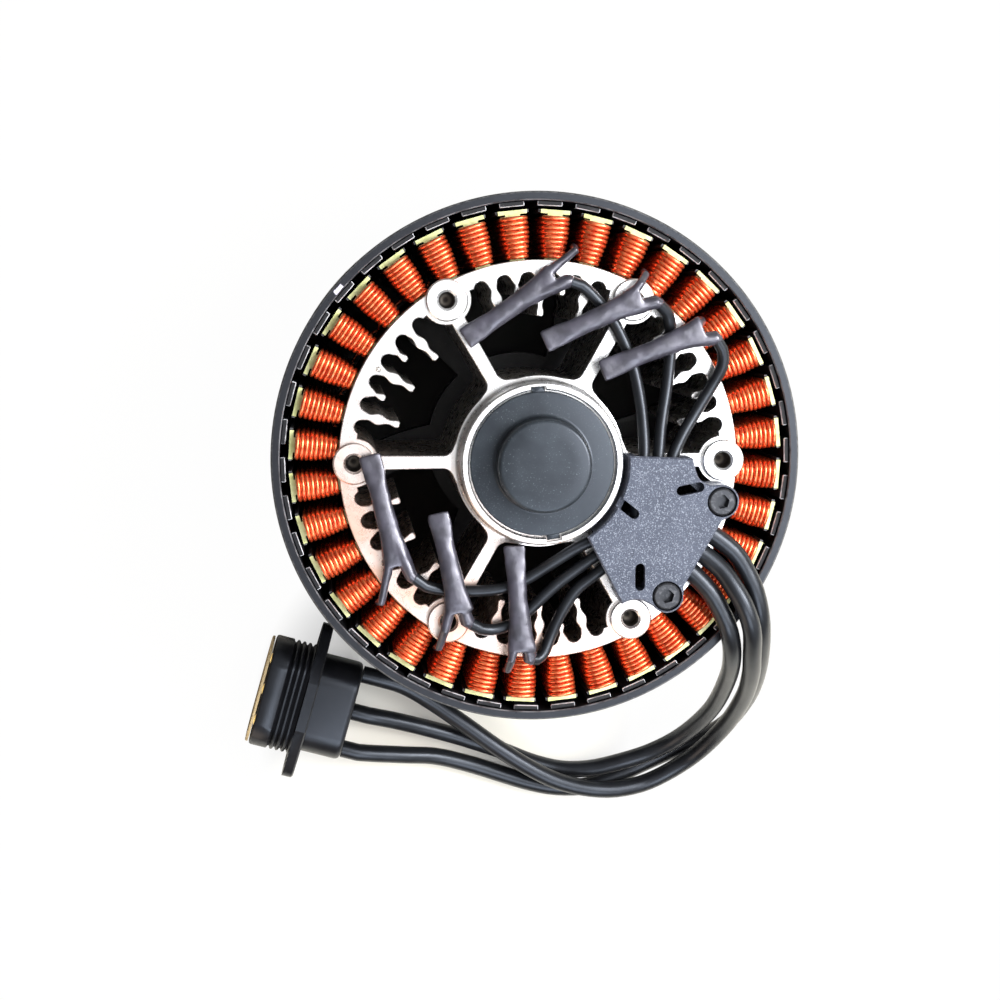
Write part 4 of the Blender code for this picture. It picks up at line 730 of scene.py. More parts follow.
# %% Cables
CABLE_RADIUS = 1.95 * MM
CABLE_SPACING = 4.3 * MM
CABLE_EXIT = Vector((32.0, -18.1, 50.2)) * MM
CABLE_HEADING = Vector((*polar(1.0, -30.3), 0.0))
CABLE_SIDE = Vector((-CABLE_HEADING.y, CABLE_HEADING.x, 0.0))
CRIMP_SETBACK = 2.5 * MM
CRIMP_LENGTH = 6.0 * MM
SEAT_GAP = 0.3 * MM
CABLE_ROUTES = (
    ((39.0, -18.2, 49.9), (41.6, -21.9, 49.4), (43.9, -26.7, 49.1), (45.6, -33.0, 47.5),
     (47.4, -40.5, 40.8), (49.2, -48.6, 30.2), (50.1, -57.0, 17.4), (47.8, -64.6, 8.4),
     (42.6, -69.6, 3.4), (36.1, -72.8, 2.0), (29.1, -75.8, 2.0), (22.7, -78.6, 2.0),
     (16.2, -80.6, 2.0), (9.4, -80.6, 2.0), (3.2, -79.3, 2.0), (-3.2, -77.2, 2.0),
     (-10.6, -74.6, 2.2), (-18.5, -72.2, 3.4), (-26.0, -71.0, 5.8)),
    ((36.2, -21.6, 50.9), (38.7, -25.1, 51.9), (41.0, -29.2, 52.4), (42.9, -34.3, 51.2),
     (44.3, -40.6, 46.0), (45.8, -46.6, 39.0), (46.8, -54.1, 28.4), (45.6, -63.7, 15.6),
     (40.3, -72.4, 7.8), (31.6, -78.4, 5.4), (23.8, -80.2, 6.0), (16.7, -79.8, 6.7),
     (9.4, -77.9, 6.8), (2.8, -74.6, 6.8), (-4.6, -69.7, 6.8), (-12.3, -63.9, 6.8),
     (-20.0, -58.3, 6.9), (-26.0, -54.6, 7.4)),
    ((34.2, -26.3, 50.3), (36.9, -30.8, 49.8), (38.8, -35.3, 49.1), (40.5, -41.2, 44.4),
     (41.9, -48.4, 34.2), (41.6, -58.2, 20.6), (37.4, -66.4, 11.0), (31.0, -71.4, 6.6),
     (24.0, -74.0, 5.2), (17.1, -75.9, 3.6), (10.6, -76.2, 2.4), (4.0, -74.6, 2.05),
     (-3.0, -71.7, 2.05), (-12.0, -68.4, 2.3), (-20.0, -65.6, 3.8), (-28.0, -62.8, 6.4)),
)
OUTLET_SIDES = (-OUTLET_SPACING, OUTLET_SPACING, 0.0)


def cable_mouth(number):
    """Middle of a cable where it passes the clamp's edge."""
    return CABLE_EXIT + CABLE_SIDE * CABLE_SPACING * (1 - number)


for number, letter in enumerate("abc"):
    mouth = cable_mouth(number)
    start = mouth - CABLE_HEADING * (CRIMP_SETBACK - SEAT_GAP)
    outlet = OUTLET_SIDES[number]
    before = CONNECTOR_FRAME @ Vector((CONNECTOR_LENGTH + OUTLET_STRAIGHT, outlet, 0.0))
    end = CONNECTOR_FRAME @ Vector((CONNECTOR_LENGTH + SEAT_GAP, outlet, 0.0))
    middle = [Vector(p) * MM for p in CABLE_ROUTES[number]]
    made, route = wire("cable_" + letter, SILICONE, [start, mouth, *middle, before, end],
                       CABLE_RADIUS, 2.0 * MM, 6)
    dress(made, "stator", "silicone", "phase_cable_" + letter)
    length_of(route)
    print(made.name, round(length_of(route) / MM), "mm long")

# %% [markdown]
# ## The wound coils
#
# Each tooth carries one visible layer of enamelled wire: nine turns that step outward from
# the hub side to the tooth's shoe. A real winding is one continuous wire, so each coil is
# swept along one path that goes over the tooth, down its slot, under it and up again, and
# moves outward by a turn while it is under the tooth. Over the tooth a turn follows a rounded
# box, which has no kinks, so a lamp draws one clean streak across all nine turns. The inner
# layers only show as a dark red bed between the turns, so a plain block stands for them.

# %% A round section swept along a path
def tube(bm, path, radius, sides, steady, closed=False):
    """Sweep a circle along a path, with one of its axes kept near a steady direction."""
    rows = []
    count = len(path)
    for i, here in enumerate(path):
        before = path[i - 1] if i or closed else here
        after = path[(i + 1) % count] if i < count - 1 or closed else here
        heading = (after - before).normalized()
        first = (steady - heading * steady.dot(heading)).normalized()
        second = heading.cross(first)
        rows.append([bm.verts.new(here + radius * (first * math.cos(2 * math.pi * k / sides)
                                                   + second * math.sin(2 * math.pi * k / sides)))
                     for k in range(sides)])
    following = rows[1:] + rows[:1] if closed else rows[1:]
    for row, next_row in zip(rows, following):
        for k in range(sides):
            j = (k + 1) % sides
            bm.faces.new((row[k], row[j], next_row[j], next_row[k]))
    if not closed:
        bm.faces.new(list(reversed(rows[0])))
        bm.faces.new(rows[-1])


def block(bm, low, high, placing):
    """Box between two corners, moved by a matrix."""
    corners = [bm.verts.new(placing @ Vector((x, y, z)))
               for x in (low[0], high[0]) for y in (low[1], high[1]) for z in (low[2], high[2])]
    for quad in ((0, 1, 3, 2), (4, 6, 7, 5), (0, 4, 5, 1), (2, 3, 7, 6), (0, 2, 6, 4),
                 (1, 5, 7, 3)):
        bm.faces.new([corners[i] for i in quad])


# %% One coil
TOOTH_COUNT = 36
TOOTH_PHASE = 6.0               # degrees from +X to the first tooth
COIL_INNER = 40.3 * MM
COIL_OUTER = 48.7 * MM
COIL_HALF_INNER = 2.35 * MM     # half width of the innermost turn
COIL_HALF_OUTER = 2.95 * MM
COIL_TURNS = 9
COIL_CROWN = 1.9 * MM           # how far a turn rises from its sides to its middle
COIL_SQUARENESS = 2.15          # 2 is an ellipse, more is squarer
COIL_BED_TOP = 44.1 * MM        # underside of the upper bed
COIL_BED_BOTTOM = 11.9 * MM     # top of the lower bed
COIL_TOP = 46.5 * MM
COIL_BOTTOM = 9.8 * MM
BED_INSET = 0.3 * MM            # from the first and last turn to the bed's ends
BED_HALF_WIDTH = 1.8 * MM
BED_DEPTH_TOP = 1.2 * MM        # from the crown of the turns down to the bed
BED_DEPTH_BOTTOM = 1.0 * MM
TURN_PITCH = (COIL_OUTER - COIL_INNER) / COIL_TURNS
WIRE_RADIUS = 0.475 * TURN_PITCH
WIRE_STRAY = 0.03 * MM          # how far a turn lies off its place
TURN_SPREAD = 1.7               # the width grows over the first 1 / 1.7 of the turns
OVER_STEPS = 14
UNDER_STEPS = 4


def rounded(degrees, power):
    """Point of a rounded box of half size 1, at that angle."""
    x = math.cos(math.radians(degrees))
    y = math.sin(math.radians(degrees))
    return math.copysign(abs(x) ** (2 / power), x), math.copysign(abs(y) ** (2 / power), y)


def turn_path(number, rng):
    """One turn about a tooth that points along +X: over it, down, and back under it."""
    share = number / (COIL_TURNS - 1)
    spread = min(1.0, share * TURN_SPREAD)
    half = COIL_HALF_INNER + (COIL_HALF_OUTER - COIL_HALF_INNER) * spread - WIRE_RADIUS
    high = COIL_TOP - WIRE_RADIUS - COIL_CROWN + rng.uniform(-WIRE_STRAY, 0.0)
    low = COIL_BOTTOM + WIRE_RADIUS + COIL_CROWN
    radius = COIL_INNER + (number + 0.5) * TURN_PITCH + rng.uniform(-WIRE_STRAY, WIRE_STRAY)
    points = []
    for i in range(OVER_STEPS + 1):
        across, up = rounded(180.0 - 180.0 * i / OVER_STEPS, COIL_SQUARENESS)
        points.append(Vector((radius, across * half, high + up * COIL_CROWN)))
    for i in range(UNDER_STEPS + 1):
        across, up = rounded(-180.0 * i / UNDER_STEPS, COIL_SQUARENESS)
        moved = radius + TURN_PITCH * (0.5 - 0.5 * across) if number < COIL_TURNS - 1 else radius
        points.append(Vector((moved, across * half, low + up * COIL_CROWN)))
    return points


def coil(bm, angle, rng):
    """Nine turns of one wire about the tooth at that angle, on their bed."""
    placing = Matrix.Rotation(math.radians(angle), 4, "Z")
    path = []
    for number in range(COIL_TURNS):
        path += turn_path(number, rng)
    steady = placing @ Vector((1.0, 0.0, 0.0))
    tube(bm, [placing @ p for p in path], WIRE_RADIUS, 10, steady)
    for low, high in ((COIL_BED_TOP, COIL_TOP - BED_DEPTH_TOP),
                      (COIL_BOTTOM + BED_DEPTH_BOTTOM, COIL_BED_BOTTOM)):
        block(bm, (COIL_INNER + BED_INSET, -BED_HALF_WIDTH, low),
              (COIL_OUTER - BED_INSET, BED_HALF_WIDTH, high), placing)


print("turns", COIL_TURNS, "pitch", round(TURN_PITCH / MM, 2), "mm")

# %% The three phases
LINK_RADIUS = 0.35 * MM
LINK_PITCH = 0.95 * MM
LINK_INNER = 39.25 * MM         # inside the teeth, from coil to coil
LINK_OUTER = 41.0 * MM          # under the coils that it joins
# Where the link goes within a pair of coils: radius, and tooth pitches from the first tooth
LINK_STATIONS = ((LINK_INNER, -1.6), (LINK_INNER, -0.6), (LINK_OUTER, -0.2), (LINK_OUTER, 1.2),
                 (LINK_INNER, 1.6), (LINK_INNER, 2.8))
PHASE_TEETH = 6                 # a phase comes round again after so many teeth


def link_path(phase):
    """Wire below the coils that joins the coils of one phase."""
    height = COIL_BED_BOTTOM - LINK_RADIUS - phase * LINK_PITCH
    pitch = 360.0 / TOOTH_COUNT
    stations = []
    for pair in range(TOOTH_COUNT // PHASE_TEETH):
        first = TOOTH_PHASE + (phase * 2 + pair * PHASE_TEETH) * pitch
        for radius, shift in LINK_STATIONS:
            stations.append(Vector((*polar(radius, first + shift * pitch), height)))
    return stations


rng = random.Random(36)
for phase, letter in enumerate("abc"):
    bm = bmesh.new()
    for pair in range(TOOTH_COUNT // PHASE_TEETH):
        for member in range(2):
            tooth = phase * 2 + pair * PHASE_TEETH + member
            coil(bm, TOOTH_PHASE + tooth * 360.0 / TOOTH_COUNT, rng)
    stations = link_path(phase)
    around = smooth_route([stations[-1], *stations, stations[0], stations[1]], 1.5 * MM)
    tube(bm, around[:-1], LINK_RADIUS, 8, Vector((0, 0, 1)), closed=True)
    winding = piece_from(bm, "winding_" + letter, COPPER, 60.0)
    dress(winding, "stator", "enamelled_copper", "phase_winding_" + letter)
    print(winding.name, triangles_of(winding), "triangles")

# %% [markdown]
# ## The ring and its magnets
#
# The ring is a turned steel tube with broken edges, and its inner edge is painted paler,
# partly as wear and partly as a painted highlight. The magnets are 42 dark coated blocks that
# end a little below the ring's end. Their bevels, except those beside the ring, are bare
# nickel, because the short glints on these edges are what shows of the magnets from above.

# %% Rotor ring
RING_INNER = 51.7 * MM
OUTER_CHAMFER = 0.35 * MM
INNER_CHAMFER = 0.22 * MM
ring_outer = RING_OUTER * MM
ring_top = ring_high.z
ring_bottom = ring_low.z
ring = turned("ring", SATIN_BLACK,
              [(RING_INNER, ring_bottom), (ring_outer - OUTER_CHAMFER, ring_bottom),
               (ring_outer, ring_bottom + OUTER_CHAMFER), (ring_outer, ring_top - OUTER_CHAMFER),
               (ring_outer - OUTER_CHAMFER, ring_top), (RING_INNER + INNER_CHAMFER, ring_top),
               (RING_INNER, ring_top - INNER_CHAMFER)], 192, 20.0)
ring.data.materials.append(EDGE_WEAR_AND_HIGHLIGHT)
for face in ring.data.polygons:
    inner = face.center.xy.length < RING_INNER + INNER_CHAMFER
    face.material_index = inner and face.center.z > ring_top - INNER_CHAMFER
dress(ring, "rotor", "black_steel", "rotor_ring")

# %% Magnets
MAGNET_COUNT = 42
MAGNET_PHASE = 1.7
MAGNET_HALF_WIDTH = 2.5 * MM
MAGNET_FACES = (50.6 * MM, 51.6 * MM)
MAGNET_HEIGHTS = (9.7 * MM, 44.2 * MM)
MAGNET_BEVEL = 0.16 * MM
BARE_RADIUS = 51.3 * MM         # bevels inside this are bare nickel

bm = bmesh.new()
for k in range(MAGNET_COUNT):
    placing = Matrix.Rotation(math.radians(MAGNET_PHASE + k * 360.0 / MAGNET_COUNT), 4, "Z")
    block(bm, (MAGNET_FACES[0], -MAGNET_HALF_WIDTH, MAGNET_HEIGHTS[0]),
          (MAGNET_FACES[1], MAGNET_HALF_WIDTH, MAGNET_HEIGHTS[1]), placing)
bmesh.ops.bevel(bm, geom=list(bm.edges), offset=MAGNET_BEVEL, segments=1, affect="EDGES",
                profile=0.5)
magnets = piece_from(bm, "magnets", MAGNET_COAT)
magnets.data.materials.append(NICKEL)
for face in magnets.data.polygons:
    narrow = face.area < 4.0 * MAGNET_BEVEL * MAGNET_HALF_WIDTH
    face.material_index = narrow and face.center.xy.length < BARE_RADIUS
dress(magnets, "rotor", "black_steel")
print("magnets", triangles_of(magnets), "triangles")

# %% [markdown]
# ## The bell
#
# Below the ring the bell closes the motor towards the propeller: a rim, six swept arms and a
# pad with four screw holes. It shows through the carrier's windows as dark shapes, and fully
# from below. The arms' edges are broken with a bevel.

# %% Bell
BELL_STEPS = 120
BELL_WINDOW_RADII = (20.0, 46.5)
BELL_ARM_WIDTH = 8.0
BELL_ARM_SWEEP = 16.0
BELL_WINDOW_COUNT = 6
BELL_WINDOW_STEPS = (10, 14, 6)     # points along an arm, the rim and the pad
# Half of the bell from its axis along the propeller side, up the rim and back to the neck
BELL_PROFILE = (
    (0.0, 0.0), (15.7, 0.0), (16.0, 0.3), (16.0, 1.0), (52.9, 1.0), (53.5, 1.6), (53.5, 6.5),
    (51.4, 6.5), (51.4, 8.7), (49.9, 8.7), (48.9, 6.6), (47.5, 4.6), (12.0, 4.6), (9.6, 5.6),
    (8.4, 7.0), (8.0, 8.6), (8.0, 10.2), (6.3, 10.2), (6.3, 1.5), (0.0, 1.5))
PROPELLER_HOLE_CIRCLE = 11.5 * MM
PROPELLER_HOLE_RADIUS = 1.6 * MM
PROPELLER_HOLE_TOP = 3.2 * MM
BELL_EDGE = 0.25 * MM


def bell_window(k):
    """Outline of one opening between two swept arms, in metres."""
    pitch = 360.0 / BELL_WINDOW_COUNT
    inner, outer = BELL_WINDOW_RADII
    arm_steps, rim_steps, pad_steps = BELL_WINDOW_STEPS

    def edge(side):
        points = []
        for i in range(arm_steps + 1):
            t = i / arm_steps
            radius = inner + t * (outer - inner)
            middle = (k + (side + 1) / 2) * pitch + BELL_ARM_SWEEP * t
            points.append((radius, middle - side * math.degrees(BELL_ARM_WIDTH / 2 / radius)))
        return points

    low = edge(-1)
    high = edge(1)
    outline = list(low)
    for i in range(1, rim_steps):
        outline.append((outer, low[-1][1] + (high[-1][1] - low[-1][1]) * i / rim_steps))
    outline += reversed(high)
    for i in range(1, pad_steps):
        outline.append((inner, high[0][1] + (low[0][1] - high[0][1]) * i / pad_steps))
    return [polar(r * MM, a) for r, a in outline]


bell = turned("bell", ANODISED, [(r * MM, z * MM) for r, z in BELL_PROFILE], BELL_STEPS)
for k in range(BELL_WINDOW_COUNT):
    combine(bell, plate("window", ANODISED, bell_window(k), -2 * MM, 10.5 * MM), "DIFFERENCE")
for k in range(4):
    spot = polar(PROPELLER_HOLE_CIRCLE, 45.0 + 90.0 * k)
    drill = plate("drill", ANODISED, circle(spot, PROPELLER_HOLE_RADIUS, 24), -2 * MM,
                  PROPELLER_HOLE_TOP)
    combine(bell, drill, "DIFFERENCE")
edge_bevel = bell.modifiers.new("broken edges", "BEVEL")
edge_bevel.width = BELL_EDGE
edge_bevel.segments = 1
edge_bevel.limit_method = "ANGLE"
edge_bevel.angle_limit = math.radians(50)
bake_modifiers(bell)
dress(bell, "rotor", "black_aluminium", "rotor_bell")
print("bell", triangles_of(bell), "triangles")

# %% [markdown]
# ## The carrier
#
# The bare aluminium carrier is the motor's showpiece: a hub on six spokes, and a rim whose
# inside is milled into wavy cooling fins between keyhole slots. Half of one window is drawn
# from its middle fin to the hub, mirrored, and turned six times. The window beside the clamp
# has a pad for a screw in place of its last slots.

# %% Carrier sizes
SPOKE_COUNT = 6
SPOKE_HALF_WIDTH = 1.3 * MM
SPOKE_FILLET = 2.2 * MM
HUB_BASE_RADIUS = 17.2 * MM
HUB_RADIUS = 16.1 * MM
HUB_TOP = 53.0 * MM
HUB_CHAMFER = 0.3 * MM
HUB_SKIRT = 1.5 * MM            # how deep the hub's collar reaches below the flat top
HUB_FILLET = 1.0 * MM
HUB_FOOT = 10.2 * MM
HUB_CUT_RADIUS = 14.35 * MM     # hole in the plate, which the turned hub lines
BEARING_SEAT_RADIUS = 12.3 * MM
BEARING_SHOULDER_RADIUS = 11.1 * MM
BEARING_SHOULDERS = (16.8 * MM, 41.7 * MM)
CARRIER_EDGE = 0.16 * MM
CARRIER_TOP = CARRIER_FACE * MM
CARRIER_BOTTOM = 12.5 * MM
FLANGE_RADIUS = 40.0 * MM
FLANGE_BOTTOM = 44.1 * MM
BODY_RADIUS = 38.2 * MM
CAP_SEAT_RADIUS = 14.6 * MM
CAP_SEAT_HEIGHT = 50.8 * MM
FIN_PITCH = 7.5
FIN_ROOT = 35.3 * MM
FIN_WAVE = 0.25 * MM
FIN_TAPER = 0.25                # share of a fin's width that it loses up to its tip
FIN_TIP_BACK = 0.28 * MM        # how far the tip is rounded over
FIN_TIP_SHARE = 0.62
# A fin's tip radius, its width, and the half waves that its sides have beyond the first
LONG_FIN = (29.2 * MM, 1.7 * MM, 2)
SHORT_FIN = (33.5 * MM, 1.2 * MM, 0)
SLOT_RADIUS = 1.5 * MM
SLOT_CENTRE = 36.1 * MM
SLOT_OPENING = 80               # degrees from a slot's ray to where its round end stops
BOSS_CIRCLE = 37.0 * MM
BOSS_RADIUS = 4.2 * MM
BOSS_CLEAR_RADIUS = 4.9 * MM
BOSS_TOP = CARRIER_TOP + 1.4 * MM
BOSS_SINK = 0.45 * MM
BOSS_HOLE_RADIUS = 1.65 * MM
BOSS_HOLE_DEPTH = 4.0 * MM
PILOT_ANGLE = 150.0             # small blind hole in the rim
PILOT_RADIUS = 0.5 * MM
SCREW_HOLE_RADIUS = 1.7 * MM
SCREW_HOLE_DEPTH = 2.9 * MM
SCREW_PLACES = (Vector((35.7, -7.7)) * MM, Vector((24.8, -26.5)) * MM)
SCREW_PAD_RADIUS = 3.2 * MM
SCREW_WINDOW_ANGLE = 17.6
TAB_ANGLES = (93.5, 278.7)
TAB_HALF_WIDTH = 1.3 * MM


# %% One window
def fin_side(angle, side, tip_radius, width, waves):
    """One wavy side of a cooling fin, listed from its root to its rounded tip."""
    steps = 6 + 6 * waves
    points = []
    for i in range(steps + 1):
        t = i / steps
        wave = -FIN_WAVE * math.cos(math.pi * (1 + waves) * t)
        half = width / 2 + wave - FIN_TAPER * width * t ** 3
        points.append(beside(FIN_ROOT + (tip_radius - FIN_ROOT) * t, angle, side * half))
    points.append(beside(tip_radius - FIN_TIP_BACK, angle, side * half * FIN_TIP_SHARE))
    return points


def half_window(screw_side):
    """Half of a window's outline, from its middle fin round to the hub."""
    half_spoke = 180.0 / SPOKE_COUNT
    points = list(reversed(fin_side(0.0, 1, *LONG_FIN)))
    for number, fin in ((1, SHORT_FIN), (2, LONG_FIN)):
        slot = (number - 0.5) * FIN_PITCH
        points += arc(polar(SLOT_CENTRE, slot), SLOT_RADIUS, slot - SLOT_OPENING,
                      slot + SLOT_OPENING, 9)
        if number == 2 and screw_side:
            break
        points += fin_side(number * FIN_PITCH, -1, *fin)
        points += reversed(fin_side(number * FIN_PITCH, 1, *fin))
    if screw_side:
        screw = polar(SCREW_PLACES[0].length, SCREW_WINDOW_ANGLE)
        points += arc(screw, SCREW_PAD_RADIUS, SCREW_WINDOW_ANGLE + 217,
                      SCREW_WINDOW_ANGLE + 147, 6)
    else:
        slot = 2.5 * FIN_PITCH
        points += arc(polar(SLOT_CENTRE, slot), SLOT_RADIUS, slot - SLOT_OPENING, slot + 70, 8)
    boss = polar(BOSS_CIRCLE, half_spoke)
    start = 240.0 if screw_side else 262.0
    points += arc(boss, BOSS_CLEAR_RADIUS, half_spoke - 360 + start, half_spoke - 163, 8)
    centre = beside(HUB_BASE_RADIUS + SPOKE_FILLET, half_spoke, -SPOKE_HALF_WIDTH - SPOKE_FILLET)
    points += arc(centre, SPOKE_FILLET, half_spoke + 90, half_spoke + 165, 6)
    points += [polar(HUB_BASE_RADIUS, angle) for angle in (15.0, 10.0, 5.0)]
    return points


def window_outline(number):
    middle = (number + 0.5) * 360.0 / SPOKE_COUNT
    half = half_window(number == SPOKE_COUNT - 1)
    mirrored = [Vector((p.x, -p.y)) for p in reversed(half)]
    turn = Matrix.Rotation(math.radians(middle), 2)
    return [turn @ p for p in half + [Vector((HUB_BASE_RADIUS, 0.0))] + mirrored]


print("window points", len(window_outline(0)))

# %% Carrier body, hub, bosses and holes
windows = [window_outline(k) for k in range(SPOKE_COUNT)]
hub_hole = circle((0, 0), HUB_CUT_RADIUS, 72)
carrier = plate("carrier", ALUMINIUM, circle((0, 0), FLANGE_RADIUS, 180), CARRIER_BOTTOM,
                CARRIER_TOP, windows + [hub_hole], CARRIER_EDGE)
seat = turned("seat", ALUMINIUM,
              [(BODY_RADIUS, CARRIER_BOTTOM - MM), (FLANGE_RADIUS + 2 * MM, CARRIER_BOTTOM - MM),
               (FLANGE_RADIUS + 2 * MM, FLANGE_BOTTOM), (BODY_RADIUS, FLANGE_BOTTOM)], 180)
combine(carrier, seat, "DIFFERENCE")

fillet = [(HUB_RADIUS + HUB_FILLET - HUB_FILLET * math.sin(math.radians(a)),
           CARRIER_TOP + HUB_FILLET - HUB_FILLET * math.cos(math.radians(a)))
          for a in (0, 30, 60, 90)]
skirt = CARRIER_TOP - HUB_SKIRT
lower_shoulder, upper_shoulder = BEARING_SHOULDERS
hub_profile = [(BEARING_SEAT_RADIUS, HUB_FOOT), (HUB_RADIUS, HUB_FOOT), (HUB_RADIUS, skirt),
               (HUB_RADIUS + HUB_FILLET, skirt), *fillet, (HUB_RADIUS, HUB_TOP - HUB_CHAMFER),
               (HUB_RADIUS - HUB_CHAMFER, HUB_TOP), (CAP_SEAT_RADIUS + HUB_CHAMFER, HUB_TOP),
               (CAP_SEAT_RADIUS, HUB_TOP - HUB_CHAMFER), (CAP_SEAT_RADIUS, CAP_SEAT_HEIGHT),
               (BEARING_SEAT_RADIUS, CAP_SEAT_HEIGHT), (BEARING_SEAT_RADIUS, upper_shoulder),
               (BEARING_SHOULDER_RADIUS, upper_shoulder),
               (BEARING_SHOULDER_RADIUS, lower_shoulder), (BEARING_SEAT_RADIUS, lower_shoulder)]
combine(carrier, turned("hub", ALUMINIUM, hub_profile, 120), "UNION")


def several(name, outlines, bottom, top, chamfer=0.0):
    """Several plates of one height in one mesh."""
    bm = bmesh.new()
    for outline in outlines:
        made = plate(name, ALUMINIUM, outline, bottom, top, (), chamfer)
        bm.from_mesh(made.data)
        bpy.data.objects.remove(made)
    return piece_from(bm, name, ALUMINIUM)


boss_places = [polar(BOSS_CIRCLE, k * 360.0 / SPOKE_COUNT) for k in range(SPOKE_COUNT)]
bosses = several("bosses", [circle(p, BOSS_RADIUS, 48) for p in boss_places],
                 CARRIER_TOP - 0.4 * MM, BOSS_TOP, 0.3 * MM)
combine(carrier, bosses, "UNION")


def countersunk(places, radius, floor, face, sink):
    """Drills with a short cone at the face, all in one mesh."""
    bm = bmesh.new()
    for place in places:
        made = turned("drill", ALUMINIUM,
                      [(0.0, floor - 0.6 * radius), (radius, floor), (radius, face - sink),
                       (radius + sink + 0.5 * MM, face + 0.5 * MM), (0.0, face + 0.5 * MM)], 32)
        made.data.transform(Matrix.Translation((*place, 0.0)))
        bm.from_mesh(made.data)
        bpy.data.objects.remove(made)
    return piece_from(bm, "drills", ALUMINIUM)


for places, radius, floor, face, sink in (
        (boss_places, BOSS_HOLE_RADIUS, BOSS_TOP - BOSS_HOLE_DEPTH, BOSS_TOP, BOSS_SINK),
        (SCREW_PLACES, SCREW_HOLE_RADIUS, CARRIER_TOP - SCREW_HOLE_DEPTH, CARRIER_TOP, 0.2 * MM),
        ([polar(BOSS_CIRCLE, PILOT_ANGLE)], PILOT_RADIUS, CARRIER_TOP - 2 * MM, CARRIER_TOP,
         0.1 * MM)):
    combine(carrier, countersunk(places, radius, floor, face, sink), "DIFFERENCE")


def tab_outline(angle, half_width, reach):
    inner = CAP_SEAT_RADIUS - 1.2 * MM
    return [beside(inner, angle, -half_width), beside(reach, angle, -half_width),
            beside(reach, angle, half_width), beside(inner, angle, half_width)]


TAB_REACH = CAP_SEAT_RADIUS + 0.6 * MM
for angle in TAB_ANGLES:
    notch = plate("notch", ALUMINIUM,
                  tab_outline(angle, TAB_HALF_WIDTH + SEAT_GAP, TAB_REACH + SEAT_GAP),
                  CAP_SEAT_HEIGHT + SEAT_GAP, HUB_TOP + MM)
    combine(carrier, notch, "DIFFERENCE")
carrier.data.materials.append(TAPPED_SHADE)
for face in carrier.data.polygons:
    drilled = BOSS_TOP - BOSS_HOLE_DEPTH - MM < face.center.z + BOSS_SINK < BOSS_TOP
    for place in boss_places:
        if drilled and (face.center.xy - place).length < BOSS_HOLE_RADIUS + 0.02 * MM:
            face.material_index = 1
dress(carrier, "stator", "bare_aluminium", "stator_carrier")
print("carrier", triangles_of(carrier), "triangles")

# %% [markdown]
# ## The hub cap
#
# A dark moulded cap snaps into the hub with two tabs. Its button stands above a flat ring and
# has soft edges, so it is one turned profile whose corners are short arcs.

# %% Cap
BUTTON_RADIUS = 9.3 * MM
BUTTON_TOP = 57.4 * MM
CAP_BOTTOM = CAP_SEAT_HEIGHT + SEAT_GAP
CAP_FACE = CAP_BOTTOM + 1.3 * MM
CAP_RIM = CAP_SEAT_RADIUS - SEAT_GAP
BUTTON_BEND = 1.0 * MM
BUTTON_FOOT_BEND = 0.8 * MM
RIM_BEND = 0.3 * MM
CAP_WALL = 1.4 * MM


def bend(centre, radius, start, end, steps=6):
    """Corner of a turned profile, as (radius, height) points."""
    return [(p.x, p.y) for p in arc(centre, radius, start, end, steps)]


profile = [(BUTTON_RADIUS - CAP_WALL, CAP_BOTTOM), (CAP_RIM - 0.2 * MM, CAP_BOTTOM),
           (CAP_RIM, CAP_BOTTOM + 0.2 * MM)]
profile += bend((CAP_RIM - RIM_BEND, CAP_FACE - RIM_BEND), RIM_BEND, 0, 90, 3)
profile += bend((BUTTON_RADIUS + BUTTON_FOOT_BEND, CAP_FACE + BUTTON_FOOT_BEND),
                BUTTON_FOOT_BEND, 270, 180)
profile += bend((BUTTON_RADIUS - BUTTON_BEND, BUTTON_TOP - BUTTON_BEND - 0.15 * MM), BUTTON_BEND,
                0, 84)
profile += [(BUTTON_RADIUS * 0.6, BUTTON_TOP - 0.04 * MM), (0.0, BUTTON_TOP),
            (0.0, BUTTON_TOP - CAP_WALL), (BUTTON_RADIUS - CAP_WALL, BUTTON_TOP - CAP_WALL)]
cap = turned("cap", SLATE, profile, 128, 50.0)
for angle in TAB_ANGLES:
    tab = plate("tab", SLATE, tab_outline(angle, TAB_HALF_WIDTH, TAB_REACH),
                CAP_BOTTOM + SEAT_GAP, CAP_FACE - 0.2 * MM, (), 0.15 * MM)
    combine(cap, tab, "UNION", 50.0)
dress(cap, "stator", "dark_plastic", "hub_cap")
print("cap", triangles_of(cap), "triangles")

# %% [markdown]
# ## The clamp cover and its screws
#
# The cover is a moulding with a flat grained face, three small slots, two shallow ejector
# marks and a lobe round each screw. It hugs the hub on one side and lets the leads in under
# two edges. The screws are socket heads with a knurled rim.

# %% Cover
COVER_TOP = 54.5 * MM
COVER_BOTTOM = CARRIER_TOP + SEAT_GAP
COVER_UNDERSIDE = COVER_TOP - 1.5 * MM
COVER_HUB_ARC = HUB_RADIUS + 0.8 * MM
COVER_LOBE = 3.4 * MM
COVER_LIP = 0.56                # share of a lobe that the edge over the cables stands out
COVER_WALL = 1.2 * MM           # between the hub and the hollow inside
COVER_SLOTS = (((27.4, -5.4), (31.0, -4.7)), ((14.0, -6.7), (18.0, -9.9)),
               ((19.3, -20.8), (19.3, -24.3)))
EJECTOR_MARKS = ((22.9, -5.6), (16.6, -17.6))
EJECTOR_RADIUS = 1.35 * MM
EJECTOR_DEPTH = 0.12 * MM
